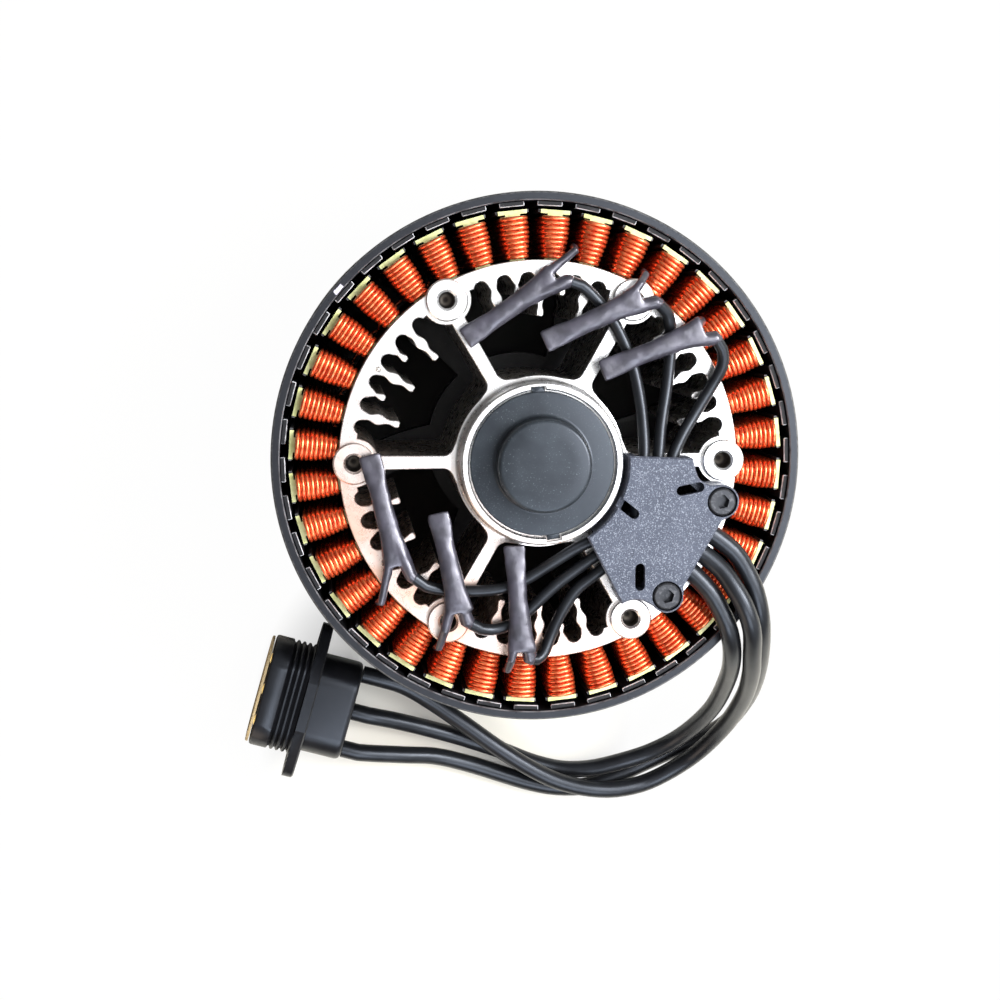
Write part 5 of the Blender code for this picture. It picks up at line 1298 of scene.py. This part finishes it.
# Corners of the neck beside screw 1, and of what is cut from below, in millimetres
NECK_CORNERS = ((33.9, -4.3), (33.2, -4.35), (32.2, -3.9), (31.3, -3.3), (30.7, -2.6),
                (30.2, -1.2), (29.7, 1.0))
CAVITY_CORNERS = ((16.5, -25.2), (20.6, -25.2), (22.6, -22.2), (26.2, -21.5), (32.5, -11.5),
                  (32.0, -8.5), (31.0, -5.6), (28.8, -3.6), (28.4, -0.4))
TOP_MOUTH_CORNERS = ((18.4, -3.0), (27.6, -3.0), (27.6, 4.0), (18.4, 4.0))
LOW_MOUTH_CORNERS = ((4.5, -16.0), (8.5, -14.0), (13.0, -12.7), (18.0, -23.0), (11.0, -29.0))


def outline_in_mm(listed):
    """Outline from corners listed in millimetres."""
    return [Vector(p) * MM for p in listed]


def cover_outline():
    first, second = SCREW_PLACES
    low_boss = polar(BOSS_CIRCLE, -60.0)
    away = CABLE_HEADING.xy * COVER_LOBE * COVER_LIP
    along = CABLE_SIDE.xy * COVER_LOBE
    outline = arc((0, 0), COVER_HUB_ARC, 5.5, -58.8, 24)
    outline += arc(low_boss, BOSS_CLEAR_RADIUS, 124, 70, 8)
    outline += arc(second, COVER_LOBE, 215, 345, 14)
    outline += [second + away + along, first + away - along]
    outline += arc(first, COVER_LOBE, -50, 80, 14)
    return outline + outline_in_mm(NECK_CORNERS)


def slot_outline(start, end, half_width):
    a = Vector(start) * MM
    b = Vector(end) * MM
    heading = math.degrees(math.atan2(b.y - a.y, b.x - a.x))
    return (arc(b, half_width, heading - 90, heading + 90, 8)
            + arc(a, half_width, heading + 90, heading + 270, 8))


cover = plate("cover", GRAINED, cover_outline(), COVER_BOTTOM, COVER_TOP, (), 0.3 * MM)
cavity = arc((0, 0), COVER_HUB_ARC + COVER_WALL, -1.5, -58, 12)
cavity += outline_in_mm(CAVITY_CORNERS)
across = (CABLE_SIDE * (CABLE_SPACING + CABLE_RADIUS + 0.6 * MM)).xy
inward = (CABLE_EXIT - CABLE_HEADING * 7 * MM).xy
outward = (CABLE_EXIT + CABLE_HEADING * 6 * MM).xy
cable_mouths = [inward - across, outward - across, outward + across, inward + across]
for outline in (cavity, outline_in_mm(TOP_MOUTH_CORNERS), outline_in_mm(LOW_MOUTH_CORNERS),
                cable_mouths):
    cutter = plate("cut", GRAINED, outline, COVER_BOTTOM - MM, COVER_UNDERSIDE)
    combine(cover, cutter, "DIFFERENCE")
for start, end in COVER_SLOTS:
    cutter = plate("slot", GRAINED, slot_outline(start, end, MM), COVER_UNDERSIDE - MM,
                   COVER_TOP + MM)
    combine(cover, cutter, "DIFFERENCE")
for spot in EJECTOR_MARKS:
    mark = plate("mark", GRAINED, circle(Vector(spot) * MM, EJECTOR_RADIUS, 32),
                 COVER_TOP - EJECTOR_DEPTH, COVER_TOP + MM)
    combine(cover, mark, "DIFFERENCE")

# %% Screws
HEAD_RADIUS = 2.75 * MM
HEAD_HEIGHT = 3.0 * MM
SHANK_RADIUS = 1.4 * MM
SHANK_DEPTH = 2.6 * MM          # into the carrier
SOCKET_RADIUS = 1.45 * MM
SOCKET_DEPTH_IN_HEAD = 1.6 * MM
SOCKET_TURN = 14                # degrees, as the screws were left
KNURLS = 40
KNURL_DEPTH = 0.09 * MM
HEAD_EDGE = 0.28 * MM


def knurled(centre):
    """Outline of a knurled head."""
    return [centre + polar(HEAD_RADIUS - KNURL_DEPTH * (i % 2), 180.0 * i / KNURLS)
            for i in range(2 * KNURLS)]


for number, place in enumerate(SCREW_PLACES):
    for radius, floor in ((SHANK_RADIUS + SEAT_GAP, COVER_BOTTOM - MM),
                          (HEAD_RADIUS + SEAT_GAP, COVER_TOP - HEAD_HEIGHT - SEAT_GAP)):
        bore = plate("bore", GRAINED, circle(place, radius, 40), floor, COVER_TOP + MM)
        combine(cover, bore, "DIFFERENCE")
    screw = plate("screw_%d" % (number + 1), OXIDE, knurled(place), COVER_TOP - HEAD_HEIGHT,
                  COVER_TOP, (), HEAD_EDGE)
    shank = plate("shank", OXIDE, circle(place, SHANK_RADIUS, 24), CARRIER_TOP - SHANK_DEPTH,
                  COVER_TOP - HEAD_HEIGHT + 0.2 * MM)
    combine(screw, shank, "UNION")
    hexagon = [place + polar(SOCKET_RADIUS, 60 * i + SOCKET_TURN) for i in range(6)]
    socket = plate("socket", OXIDE, hexagon, COVER_TOP - SOCKET_DEPTH_IN_HEAD, COVER_TOP + MM)
    combine(screw, socket, "DIFFERENCE")
    dress(screw, "stator", "black_oxide", "clamp_screw_%d" % (number + 1))
dress(cover, "stator", "grey_plastic", "clamp_cover")
print("cover", triangles_of(cover), "triangles")

# %% [markdown]
# ## Shrink sleeves
#
# Where the winding's ends meet the leads, each joint is covered by a shrink sleeve: pinched
# flat at its closed end, round in the middle, and forked at its mouth, where one leg holds
# the enamelled wires that dive into a slot and the other grips the lead. The three tubes are
# made apart, melted together by a voxel remesh, and wrinkled by a little noise.

# %% Leads' routes
LEAD_RADIUS = 1.2 * MM
LEAD_STACK_OFFSET = 1.35 * MM
LEAD_STRAIGHT = 1.6 * MM
LEAD_ROUTES = (
    ((5.3, 35.8, 49.8), (8.0, 34.9, 49.5), (11.2, 31.9, 49.1), (14.7, 27.4, 48.9),
     (18.0, 20.2, 48.9), (19.7, 13.0, 49.4), (20.3, 6.5, 50.6), (20.3, 1.0, 51.5),
     (19.3, -4.5, 51.55), (18.9, -9.0, 51.55), (19.1, -13.0, 51.55), (20.2, -15.9, 51.55)),
    ((22.6, 31.7, 51.4), (24.6, 30.0, 50.4), (25.7, 27.4, 49.2), (26.0, 23.0, 48.8),
     (25.2, 15.0, 49.2), (23.9, 7.5, 50.5), (23.2, 1.0, 51.5), (22.2, -4.0, 51.55),
     (21.7, -8.5, 51.55), (22.2, -11.6, 51.55)),
    ((34.5, 24.6, 51.3), (36.0, 22.4, 50.6), (36.3, 19.2, 50.0), (34.4, 15.4, 49.6),
     (31.2, 10.2, 49.8), (28.2, 5.4, 50.7), (26.1, 1.0, 51.5), (25.1, -3.5, 51.55),
     (24.7, -6.6, 51.55)),
    ((-26.0, -22.2, 50.4), (-23.2, -24.4, 49.8), (-19.4, -25.4, 49.1), (-14.6, -25.8, 48.9),
     (-8.0, -25.4, 48.9), (-3.0, -23.6, 48.9), (2.0, -20.6, 48.9), (7.0, -17.6, 48.9),
     (12.9, -14.6, 48.85), (17.4, -11.3, 48.85), (21.2, -9.2, 48.85)),
    ((-14.8, -31.6, 51.2), (-12.2, -33.2, 50.2), (-9.2, -33.6, 49.2), (-5.4, -32.4, 48.9),
     (-1.6, -29.2, 48.9), (3.4, -24.6, 48.9), (8.9, -20.6, 48.9), (13.4, -17.5, 48.85),
     (17.2, -14.8, 48.85), (20.4, -13.2, 48.85)),
    ((-2.2, -39.4, 51.0), (-0.9, -39.7, 50.4), (0.6, -38.6, 49.6), (2.2, -35.0, 48.9),
     (4.2, -30.6, 48.9), (7.2, -26.0, 48.9), (10.9, -23.0, 48.9), (14.4, -20.2, 48.85),
     (17.8, -17.9, 48.85)),
)
LEAD_ENDS = ((2, 1), (1, 1), (0, 1), (0, -1), (1, -1), (2, -1))

for number, route in enumerate(LEAD_ROUTES):
    crimp_number, level = LEAD_ENDS[number]
    reach = CRIMP_SETBACK + CRIMP_LENGTH + SEAT_GAP
    mouth = cable_mouth(crimp_number) - CABLE_HEADING * reach
    mouth = mouth + Vector((0, 0, level * LEAD_STACK_OFFSET))
    approach = mouth - CABLE_HEADING * LEAD_STRAIGHT
    points = [Vector(p) * MM for p in route]
    made, _ = wire("wire_%d" % (number + 1), SILICONE, points + [approach, mouth], LEAD_RADIUS,
                   1.2 * MM, 5)
    dress(made, "stator", "silicone", "lead_%d" % (number + 1))
print("leads", len(LEAD_ROUTES))

# %% Sleeve shape
# Each sleeve: closed end, mouth, height, and the winding slot that its tail goes into
SLEEVES = (
    ((-15.1, 24.5), (2.6, 36.5), 49.8, 81.0),
    ((0.3, 23.9), (19.6, 32.5), 51.8, 61.0),
    ((11.7, 18.2), (31.9, 26.2), 51.8, 41.0),
    ((-34.0, 1.9), (-28.4, -20.2), 50.6, 221.0),
    ((-20.7, -9.5), (-16.4, -29.6), 51.8, 241.0),
    ((-5.6, -16.2), (-4.0, -37.7), 51.8, 261.0),
)
SLEEVE_HALF_WIDTH = 2.15 * MM
SLEEVE_HALF_HEIGHT = 1.2 * MM
# Along the sleeve: share of its length, then width and height as shares of the round middle
SLEEVE_STATIONS = ((0.00, 1.00, 0.30), (0.03, 1.04, 0.36), (0.14, 1.02, 0.42),
                   (0.24, 0.96, 0.62), (0.34, 0.90, 0.92), (0.50, 0.92, 1.02),
                   (0.66, 0.98, 1.04), (0.80, 1.10, 1.05), (0.90, 1.25, 1.02),
                   (0.975, 1.38, 0.95), (1.00, 1.36, 0.85))
SLEEVE_SQUARING = 1.6           # how much squarer the section gets towards both ends
TAIL_ELBOW = (42.3 * MM, 50.0 * MM)
TAIL_SLOT_RADIUS = 43.2 * MM
TAIL_TIP_HEIGHT = 45.3 * MM
# A leg's first places: share of the sleeve's length, and how far beside its middle
TAIL_ROOTS = ((0.78, 0.8 * MM), (0.93, 1.4 * MM))
TAIL_RADII = (1.2 * MM, 1.10 * MM, 0.88 * MM, 0.80 * MM, 0.72 * MM, 0.5 * MM)
GRIP_ROOT = (0.72, -0.5 * MM)
GRIP_REACH = 0.25               # share of the lead's first stretch that the sleeve grips
GRIP_RADII = (1.2 * MM, 1.4 * MM, 1.45 * MM, 1.40 * MM)
VOXEL = 0.24 * MM
WRINKLE = 0.13 * MM
CREASE_SIZE = 2.3 * MM
DENT_SIZE = 3.4 * MM
DENT_SHARE = 0.8


def ring_of(centre, heading, half_width, half_height, power=2.0, count=20):
    """Rounded section square to a heading, squarer for a larger power."""
    heading = heading.normalized()
    side = Vector((0, 0, 1)).cross(heading).normalized()
    upward = heading.cross(side)
    points = []
    for i in range(count):
        x, y = rounded(360.0 * i / count, power)
        points.append(centre + side * half_width * x + upward * half_height * y)
    return points


def leg(bm, centres, radii):
    """Round leg of a sleeve through its centres."""
    rings = []
    for i, (centre, radius) in enumerate(zip(centres, radii)):
        heading = centres[min(i + 1, len(centres) - 1)] - centres[max(i - 1, 0)]
        rings.append(ring_of(centre, heading, radius, radius, 2.0, 14))
    loft(bm, rings)


def sleeve(number, closed, mouth, height, slot_angle):
    """Shrink sleeve with a pinched end, a leg to the winding and a leg to the lead."""
    start = Vector((*closed, height / MM)) * MM
    end = Vector((*mouth, height / MM)) * MM
    heading = end - start
    bm = bmesh.new()
    rings = []
    for t, w, h in SLEEVE_STATIONS:
        power = 2.0 + SLEEVE_SQUARING * max(0.0, 0.3 - t, t - 0.7)
        rings.append(ring_of(start.lerp(end, t), heading, SLEEVE_HALF_WIDTH * w,
                             SLEEVE_HALF_HEIGHT * h, power))
    loft(bm, rings)
    side = Vector((0, 0, 1)).cross(heading).normalized()
    elbow = Vector((*polar(TAIL_ELBOW[0], slot_angle), TAIL_ELBOW[1]))
    tip = Vector((*polar(TAIL_SLOT_RADIUS, slot_angle), TAIL_TIP_HEIGHT))
    outward = side if side.dot(tip - end) > 0 else -side
    root, middle = (start.lerp(end, share) + outward * aside for share, aside in TAIL_ROOTS)
    waypoint = middle.lerp(elbow, 0.55)
    waypoint.z = height
    leg(bm, [root, middle, waypoint, elbow, elbow.lerp(tip, 0.5), tip], TAIL_RADII)
    first, second = (Vector(p) * MM for p in LEAD_ROUTES[number - 1][:2])
    root = start.lerp(end, GRIP_ROOT[0]) + outward * GRIP_ROOT[1]
    leg(bm, [root, root.lerp(first, 0.55), first, first.lerp(second, GRIP_REACH)], GRIP_RADII)
    made = piece_from(bm, "sleeve_%d" % number, SLEEVE, 60.0)
    melt = made.modifiers.new("melt", "REMESH")
    melt.mode = "VOXEL"
    melt.voxel_size = VOXEL
    ease = made.modifiers.new("ease", "SMOOTH")
    ease.factor = 0.5
    ease.iterations = 4
    bake_modifiers(made, 80.0)
    axis = heading.normalized()
    other_noise = number * 7.0      # so that no two sleeves are creased alike
    for corner in made.data.vertices:
        along = (corner.co - start).dot(axis)
        dent = noise.noise(Vector((along / DENT_SIZE, other_noise, 0.3)))
        crease = noise.noise(corner.co / CREASE_SIZE + Vector((other_noise, 0, 0)))
        corner.co += corner.normal * WRINKLE * (crease + DENT_SHARE * dent)
    made.data.update()
    return dress(made, "stator", "heat_shrink", "splice_%d" % number)


for number, facts in enumerate(SLEEVES, 1):
    closed, mouth, height, slot_angle = facts
    made = sleeve(number, closed, mouth, height * MM, slot_angle)
    print(made.name, triangles_of(made), "triangles")

# %% [markdown]
# ## The connector
#
# A black three-way connector ends the cables. Its shell is lofted from rounded sections, with
# four soft ribs behind the mating face. A flange with two eared screw holes is sawn out of
# plate and joined to it. The mating side has a socket with a thin tan face seal, an insert
# and three gold contacts.

# %% Connector sizes, along its own axis from the mating face
HALF_WIDTH = 12.4 * MM
HALF_HEIGHT = 7.2 * MM
CORNER = 6.0 * MM
NOSE_LENGTH = 4.8 * MM
RIB_COUNT = 4
RIB_PITCH = 1.3 * MM
RIB_DEPTH = 0.6 * MM
FLANGE_FRONT = NOSE_LENGTH + RIB_COUNT * RIB_PITCH
FLANGE_THICKNESS = 2.4 * MM
FLANGE_SPAN = 14.4 * MM         # from the axis to an ear's hole
EAR_RADIUS = 3.6 * MM
EAR_HOLE_RADIUS = 1.6 * MM
BACK_HALF_WIDTH = 11.2 * MM
BACK_HALF_HEIGHT = 6.2 * MM
SOCKET_WALL = 1.8 * MM
SOCKET_DEPTH = 9.0 * MM
SEAL_THICKNESS = 0.6 * MM
CONTACT_SPACING = 7.2 * MM
CONTACT_RADIUS = 1.8 * MM
CONTACT_LENGTH = 7.8 * MM
INSERT_THICKNESS = 3.0 * MM
FRONT_EDGE = ((0.0, 0.5 * MM), (0.15 * MM, 0.15 * MM), (0.5 * MM, 0.0))
BACK_EDGE = ((1.2 * MM, 0.0), (0.55 * MM, 0.12 * MM), (0.16 * MM, 0.4 * MM), (0.0, 0.9 * MM))
RIB_STATIONS = (0.12, 0.25, 0.40, 0.55, 0.68, 0.85)
RIB_SHARE = 0.8                 # share of the pitch that a groove takes up
FLANGE_SHOULDER = 5.2 * MM
FLANGE_TANGENT = 66             # degrees from the ears' line to where an ear's arc ends
FLANGE_EDGE = 0.35 * MM
SEAL_INSET = 0.4 * MM


def section(x, half_width, half_height):
    """Rounded rectangle across the connector at a distance from its face."""
    corner = min(CORNER, half_height * 0.92)
    points = []
    for sy, sz, start in ((1, 1, 0), (-1, 1, 90), (-1, -1, 180), (1, -1, 270)):
        for p in arc((sy * (half_width - corner), sz * (half_height - corner)), corner, start,
                     start + 90, 9):
            points.append(Vector((x, p.x, p.y)))
    return points


def shell_from(name, material, stations, sharp=40.0):
    bm = bmesh.new()
    loft(bm, [section(*station) for station in stations])
    return piece_from(bm, name, material, sharp)


# %% Shell with ribs and flange
front = SEAL_THICKNESS + SEAT_GAP
stations = [(front + x, HALF_WIDTH - drop, HALF_HEIGHT - drop) for x, drop in FRONT_EDGE]
stations.append((NOSE_LENGTH, HALF_WIDTH, HALF_HEIGHT))
for k in range(RIB_COUNT):
    for share in RIB_STATIONS:
        depth = RIB_DEPTH * (0.5 - 0.5 * math.cos(2 * math.pi * min(1.0, share / RIB_SHARE)))
        stations.append((NOSE_LENGTH + (k + share) * RIB_PITCH, HALF_WIDTH - depth,
                         HALF_HEIGHT - depth))
stations.append((FLANGE_FRONT + FLANGE_THICKNESS - MM, BACK_HALF_WIDTH, BACK_HALF_HEIGHT))
for x, drop in BACK_EDGE:
    stations.append((CONNECTOR_LENGTH - x, BACK_HALF_WIDTH - drop, BACK_HALF_HEIGHT - drop))
shell = shell_from("connector_body", CONNECTOR_BLACK, stations)

flange_height = HALF_HEIGHT - 0.3 * MM
outline = []
for half_turn, side in ((0, 1), (180, -1)):
    outline += arc((side * FLANGE_SPAN, 0), EAR_RADIUS, half_turn - FLANGE_TANGENT,
                   half_turn + FLANGE_TANGENT, 14)
    outline += arc((side * FLANGE_SHOULDER, side * flange_height), MM,
                   half_turn + FLANGE_TANGENT, half_turn + 90, 4)
    outline += arc((-side * FLANGE_SHOULDER, side * flange_height), MM, half_turn + 90,
                   half_turn + 180 - FLANGE_TANGENT, 4)
ear_holes = [circle((side * FLANGE_SPAN, 0), EAR_HOLE_RADIUS, 28) for side in (-1, 1)]
flange = plate("flange", CONNECTOR_BLACK, outline, 0.0, FLANGE_THICKNESS, ear_holes,
               FLANGE_EDGE)
STANDING = Matrix(((0, 0, 1), (1, 0, 0), (0, 1, 0))).to_4x4()
flange.data.transform(Matrix.Translation((FLANGE_FRONT, 0, 0)) @ STANDING)
combine(shell, flange, "UNION", 40.0)
socket_width = HALF_WIDTH - SOCKET_WALL
socket_height = HALF_HEIGHT - SOCKET_WALL
socket = shell_from("socket", CONNECTOR_BLACK, [(-2 * MM, socket_width, socket_height),
                                                (SOCKET_DEPTH, socket_width, socket_height)])
combine(shell, socket, "DIFFERENCE", 40.0)

# %% Seal, insert and contacts
seal = shell_from("face_seal", SEAL, [
    (x, HALF_WIDTH - drop, HALF_HEIGHT - drop)
    for x, drop in ((0.0, SEAL_INSET + 0.2 * MM), (0.15 * MM, SEAL_INSET),
                    (SEAL_THICKNESS, SEAL_INSET))])
hole = shell_from("hole", SEAL, [(-MM, socket_width, socket_height),
                                 (SEAL_THICKNESS + MM, socket_width, socket_height)])
combine(seal, hole, "DIFFERENCE")
insert_back = SOCKET_DEPTH - SEAT_GAP
insert = shell_from("contact_insert", CONNECTOR_BLACK, [
    (insert_back - x, socket_width - SEAT_GAP - drop, socket_height - SEAT_GAP - drop)
    for x, drop in ((INSERT_THICKNESS, 0.25 * MM), (INSERT_THICKNESS - 0.25 * MM, 0.0),
                    (0.0, 0.0))])
contact_back = insert_back - 0.4 * MM


def pin(name, side, radius, start, end):
    """Round pin along the connector's axis with a rounded nose."""
    bm = bmesh.new()
    nose = [(start + radius * (1 - math.cos(math.radians(a))), radius * math.sin(math.radians(a)))
            for a in (20, 40, 60, 80)]
    loft(bm, [[Vector((x, side + p.x, p.y)) for p in circle((0, 0), r, 28)]
              for x, r in (*nose, (end, radius))])
    return piece_from(bm, name, GOLD)


for k, letter in enumerate("abc"):
    side = CONTACT_SPACING * (k - 1)
    bore = pin("bore", side, CONTACT_RADIUS + SEAT_GAP, -2 * MM, contact_back + SEAT_GAP)
    combine(insert, bore, "DIFFERENCE")
    contact = pin("pin_" + letter, side, CONTACT_RADIUS, contact_back - CONTACT_LENGTH,
                  contact_back)
    contact.data.transform(CONNECTOR_FRAME)
    dress(contact, "stator", "gold", "contact_" + letter)
for made, slot, node in ((shell, "connector_plastic", "connector_shell"),
                         (seal, "tan_rubber", "connector_face_seal"),
                         (insert, "connector_plastic", "connector_insert")):
    made.data.transform(CONNECTOR_FRAME)
    dress(made, "stator", slot, node)
print("connector", triangles_of(shell), "triangles")

# %% [markdown]
# ## The pieces that keep their solids
#
# The core, the insulators, the shaft, its clip, the bearings and the crimps are already as
# fine as they need to be, because coils, cap or cover hide most of them. They only get their
# finishes.

# %% Finishes of the kept solids
KEPT = {
    "stator_core": SHEETS,
    "front_insulator": INSULATION,
    "rear_insulator": INSULATION,
    "shaft": STEEL,
    "shaft_clip": STEEL,
    "crimp_a": SLEEVE,
    "crimp_b": SLEEVE,
    "crimp_c": SLEEVE,
}
for place in ("lower", "upper"):
    for detail in ("outer_race", "inner_race", "balls"):
        KEPT["%s_bearing_%s" % (place, detail)] = STEEL
for node, material in KEPT.items():
    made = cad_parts[node]
    made.data.materials.clear()
    made.data.materials.append(material)
print(len(KEPT), "solids dressed")

# %% [markdown]
# ## Floor and light
#
# The motor lies on a white table. Camera and transmission rays see a white world, so the
# background is white, while the light that falls on the motor is weaker. Metal and gloss
# mirror a room that is bright above and on the right and dim on the left. A wide soft window
# on the right, with a brighter middle, draws the blue-grey sheen over the cap, the cover and
# the right side of the ring, and the pale streaks along the wires. Two weaker lamps fill the
# left and the front. The table shows its colour in two places only: a painted shadow, dark
# under the motor, where the windows look through it, and beige between the cables.

# %% Floor
# The dark disc under the motor is a painted shadow.
UNDER_MOTOR = (50.0 * MM, 53.0 * MM)            # where the dark disc fades out
BETWEEN_CABLES = (-16.0 * MM, -62.0 * MM, 0.0)  # middle of the beige patch
PATCH_FADES = (20.0 * MM, 44.0 * MM)
PAINTED_SHADOW = (0.03, 0.03, 0.03, 1.0)
BEIGE = (0.84, 0.80, 0.70, 1.0)
WHITE = (1.0, 1.0, 1.0, 1.0)

floor_bm = bmesh.new()
bmesh.ops.create_grid(floor_bm, x_segments=8, y_segments=8, size=3.0)
floor_material = bpy.data.materials.new("white_table")
floor_material.use_nodes = True
floor_tree = floor_material.node_tree
floor_shader = floor_tree.nodes["Principled BSDF"]
floor_shader.inputs["Roughness"].default_value = 0.9
floor_shader.inputs["Specular IOR Level"].default_value = 0.0
ray = Signal(floor_tree, floor_tree.nodes.new("ShaderNodeLightPath").outputs["Is Camera Ray"])
white = ray.node("ShaderNodeEmission", None, {"Color": WHITE, "Strength": 1.0})
spot = Signal(floor_tree, floor_tree.nodes.new("ShaderNodeTexCoord").outputs["Object"])
from_axis = spot.node("ShaderNodeVectorMath", {"operation": "LENGTH"}, {0: spot}, "Value")
from_cables = spot.node("ShaderNodeVectorMath", {"operation": "DISTANCE"},
                        {0: spot, 1: BETWEEN_CABLES}, "Value")
beside_motor = from_axis.step(*UNDER_MOTOR)
patch = 1.0 - from_cables.step(*PATCH_FADES)
whitened = beside_motor * (0.98 - 0.80 * patch)
table = spot.node("ShaderNodeMix", {"data_type": "RGBA"}, {0: beside_motor, 6: PAINTED_SHADOW, 7: BEIGE}, 2)
floor_tree.links.new(table.socket, floor_shader.inputs["Base Color"])
mixed = ray.node("ShaderNodeMixShader", None,
                 {0: ray * whitened, 1: Signal(floor_tree, floor_shader.outputs[0]), 2: white})
floor_tree.links.new(mixed.socket, floor_tree.nodes["Material Output"].inputs["Surface"])
floor = piece_from(floor_bm, "table_top", floor_material)
floor.location.z = -0.4 * MM

# %% World and lamps
ROOM_TOWARDS = (0.60, 0.10, 0.79)       # the mirrored room is brightest that way
ROOM_DIM = 0.08
ROOM_RISE = 0.90
LAMP_AIM = Vector((0.0, 0.0, 30.0)) * MM

world = bpy.data.worlds.new("studio")
world.use_nodes = True
bpy.context.scene.world = world
sky = world.node_tree
plain = sky.nodes["Background"]
plain.inputs["Color"].default_value = (0.92, 0.95, 1.0, 1.0)
plain.inputs["Strength"].default_value = 0.26
path = sky.nodes.new("ShaderNodeLightPath")
seen = Signal(sky, path.outputs["Is Camera Ray"])
seen = seen.maths("MAXIMUM", seen, Signal(sky, path.outputs["Is Transmission Ray"]))
mirrored = Signal(sky, path.outputs["Is Glossy Ray"])
heading = Signal(sky, sky.nodes.new("ShaderNodeTexCoord").outputs["Generated"])
towards = heading.node("ShaderNodeVectorMath", {"operation": "DOT_PRODUCT"},
                       {0: heading, 1: ROOM_TOWARDS}, "Value")
room = ROOM_DIM + ROOM_RISE * towards.step(0.10, 0.84)
bright = seen.node("ShaderNodeBackground", None,
                   {"Color": WHITE, "Strength": seen + (1.0 - seen) * room})
both = seen.node("ShaderNodeMixShader", None,
                 {0: seen.maths("MAXIMUM", seen, mirrored), 1: Signal(sky, plain.outputs[0]),
                  2: bright})
sky.links.new(both.socket, sky.nodes["World Output"].inputs["Surface"])


def lamp(name, place, size, power, colour):
    """Square soft lamp that points at the motor."""
    data = bpy.data.lights.new(name, "AREA")
    data.size = size
    data.energy = power
    data.color = colour
    made = bpy.data.objects.new(name, data)
    made.location = place
    made.rotation_euler = (LAMP_AIM - made.location).to_track_quat("-Z", "Y").to_euler()
    bpy.context.scene.collection.objects.link(made)


lamp("window", (0.40, 0.06, 0.66), 0.55, 6.4, (0.95, 0.97, 1.0))
lamp("window_middle", (0.50, 0.15, 0.54), 0.27, 5.0, (1.0, 0.99, 0.97))
lamp("warm_bounce", (-0.34, -0.38, 0.22), 0.30, 0.7, (1.0, 0.78, 0.60))
lamp("front_sheen", (0.08, -0.44, 0.60), 0.34, 2.4, (0.86, 0.92, 1.0))
bpy.context.scene.view_settings.view_transform = "Standard"
print("lamps and table ready")
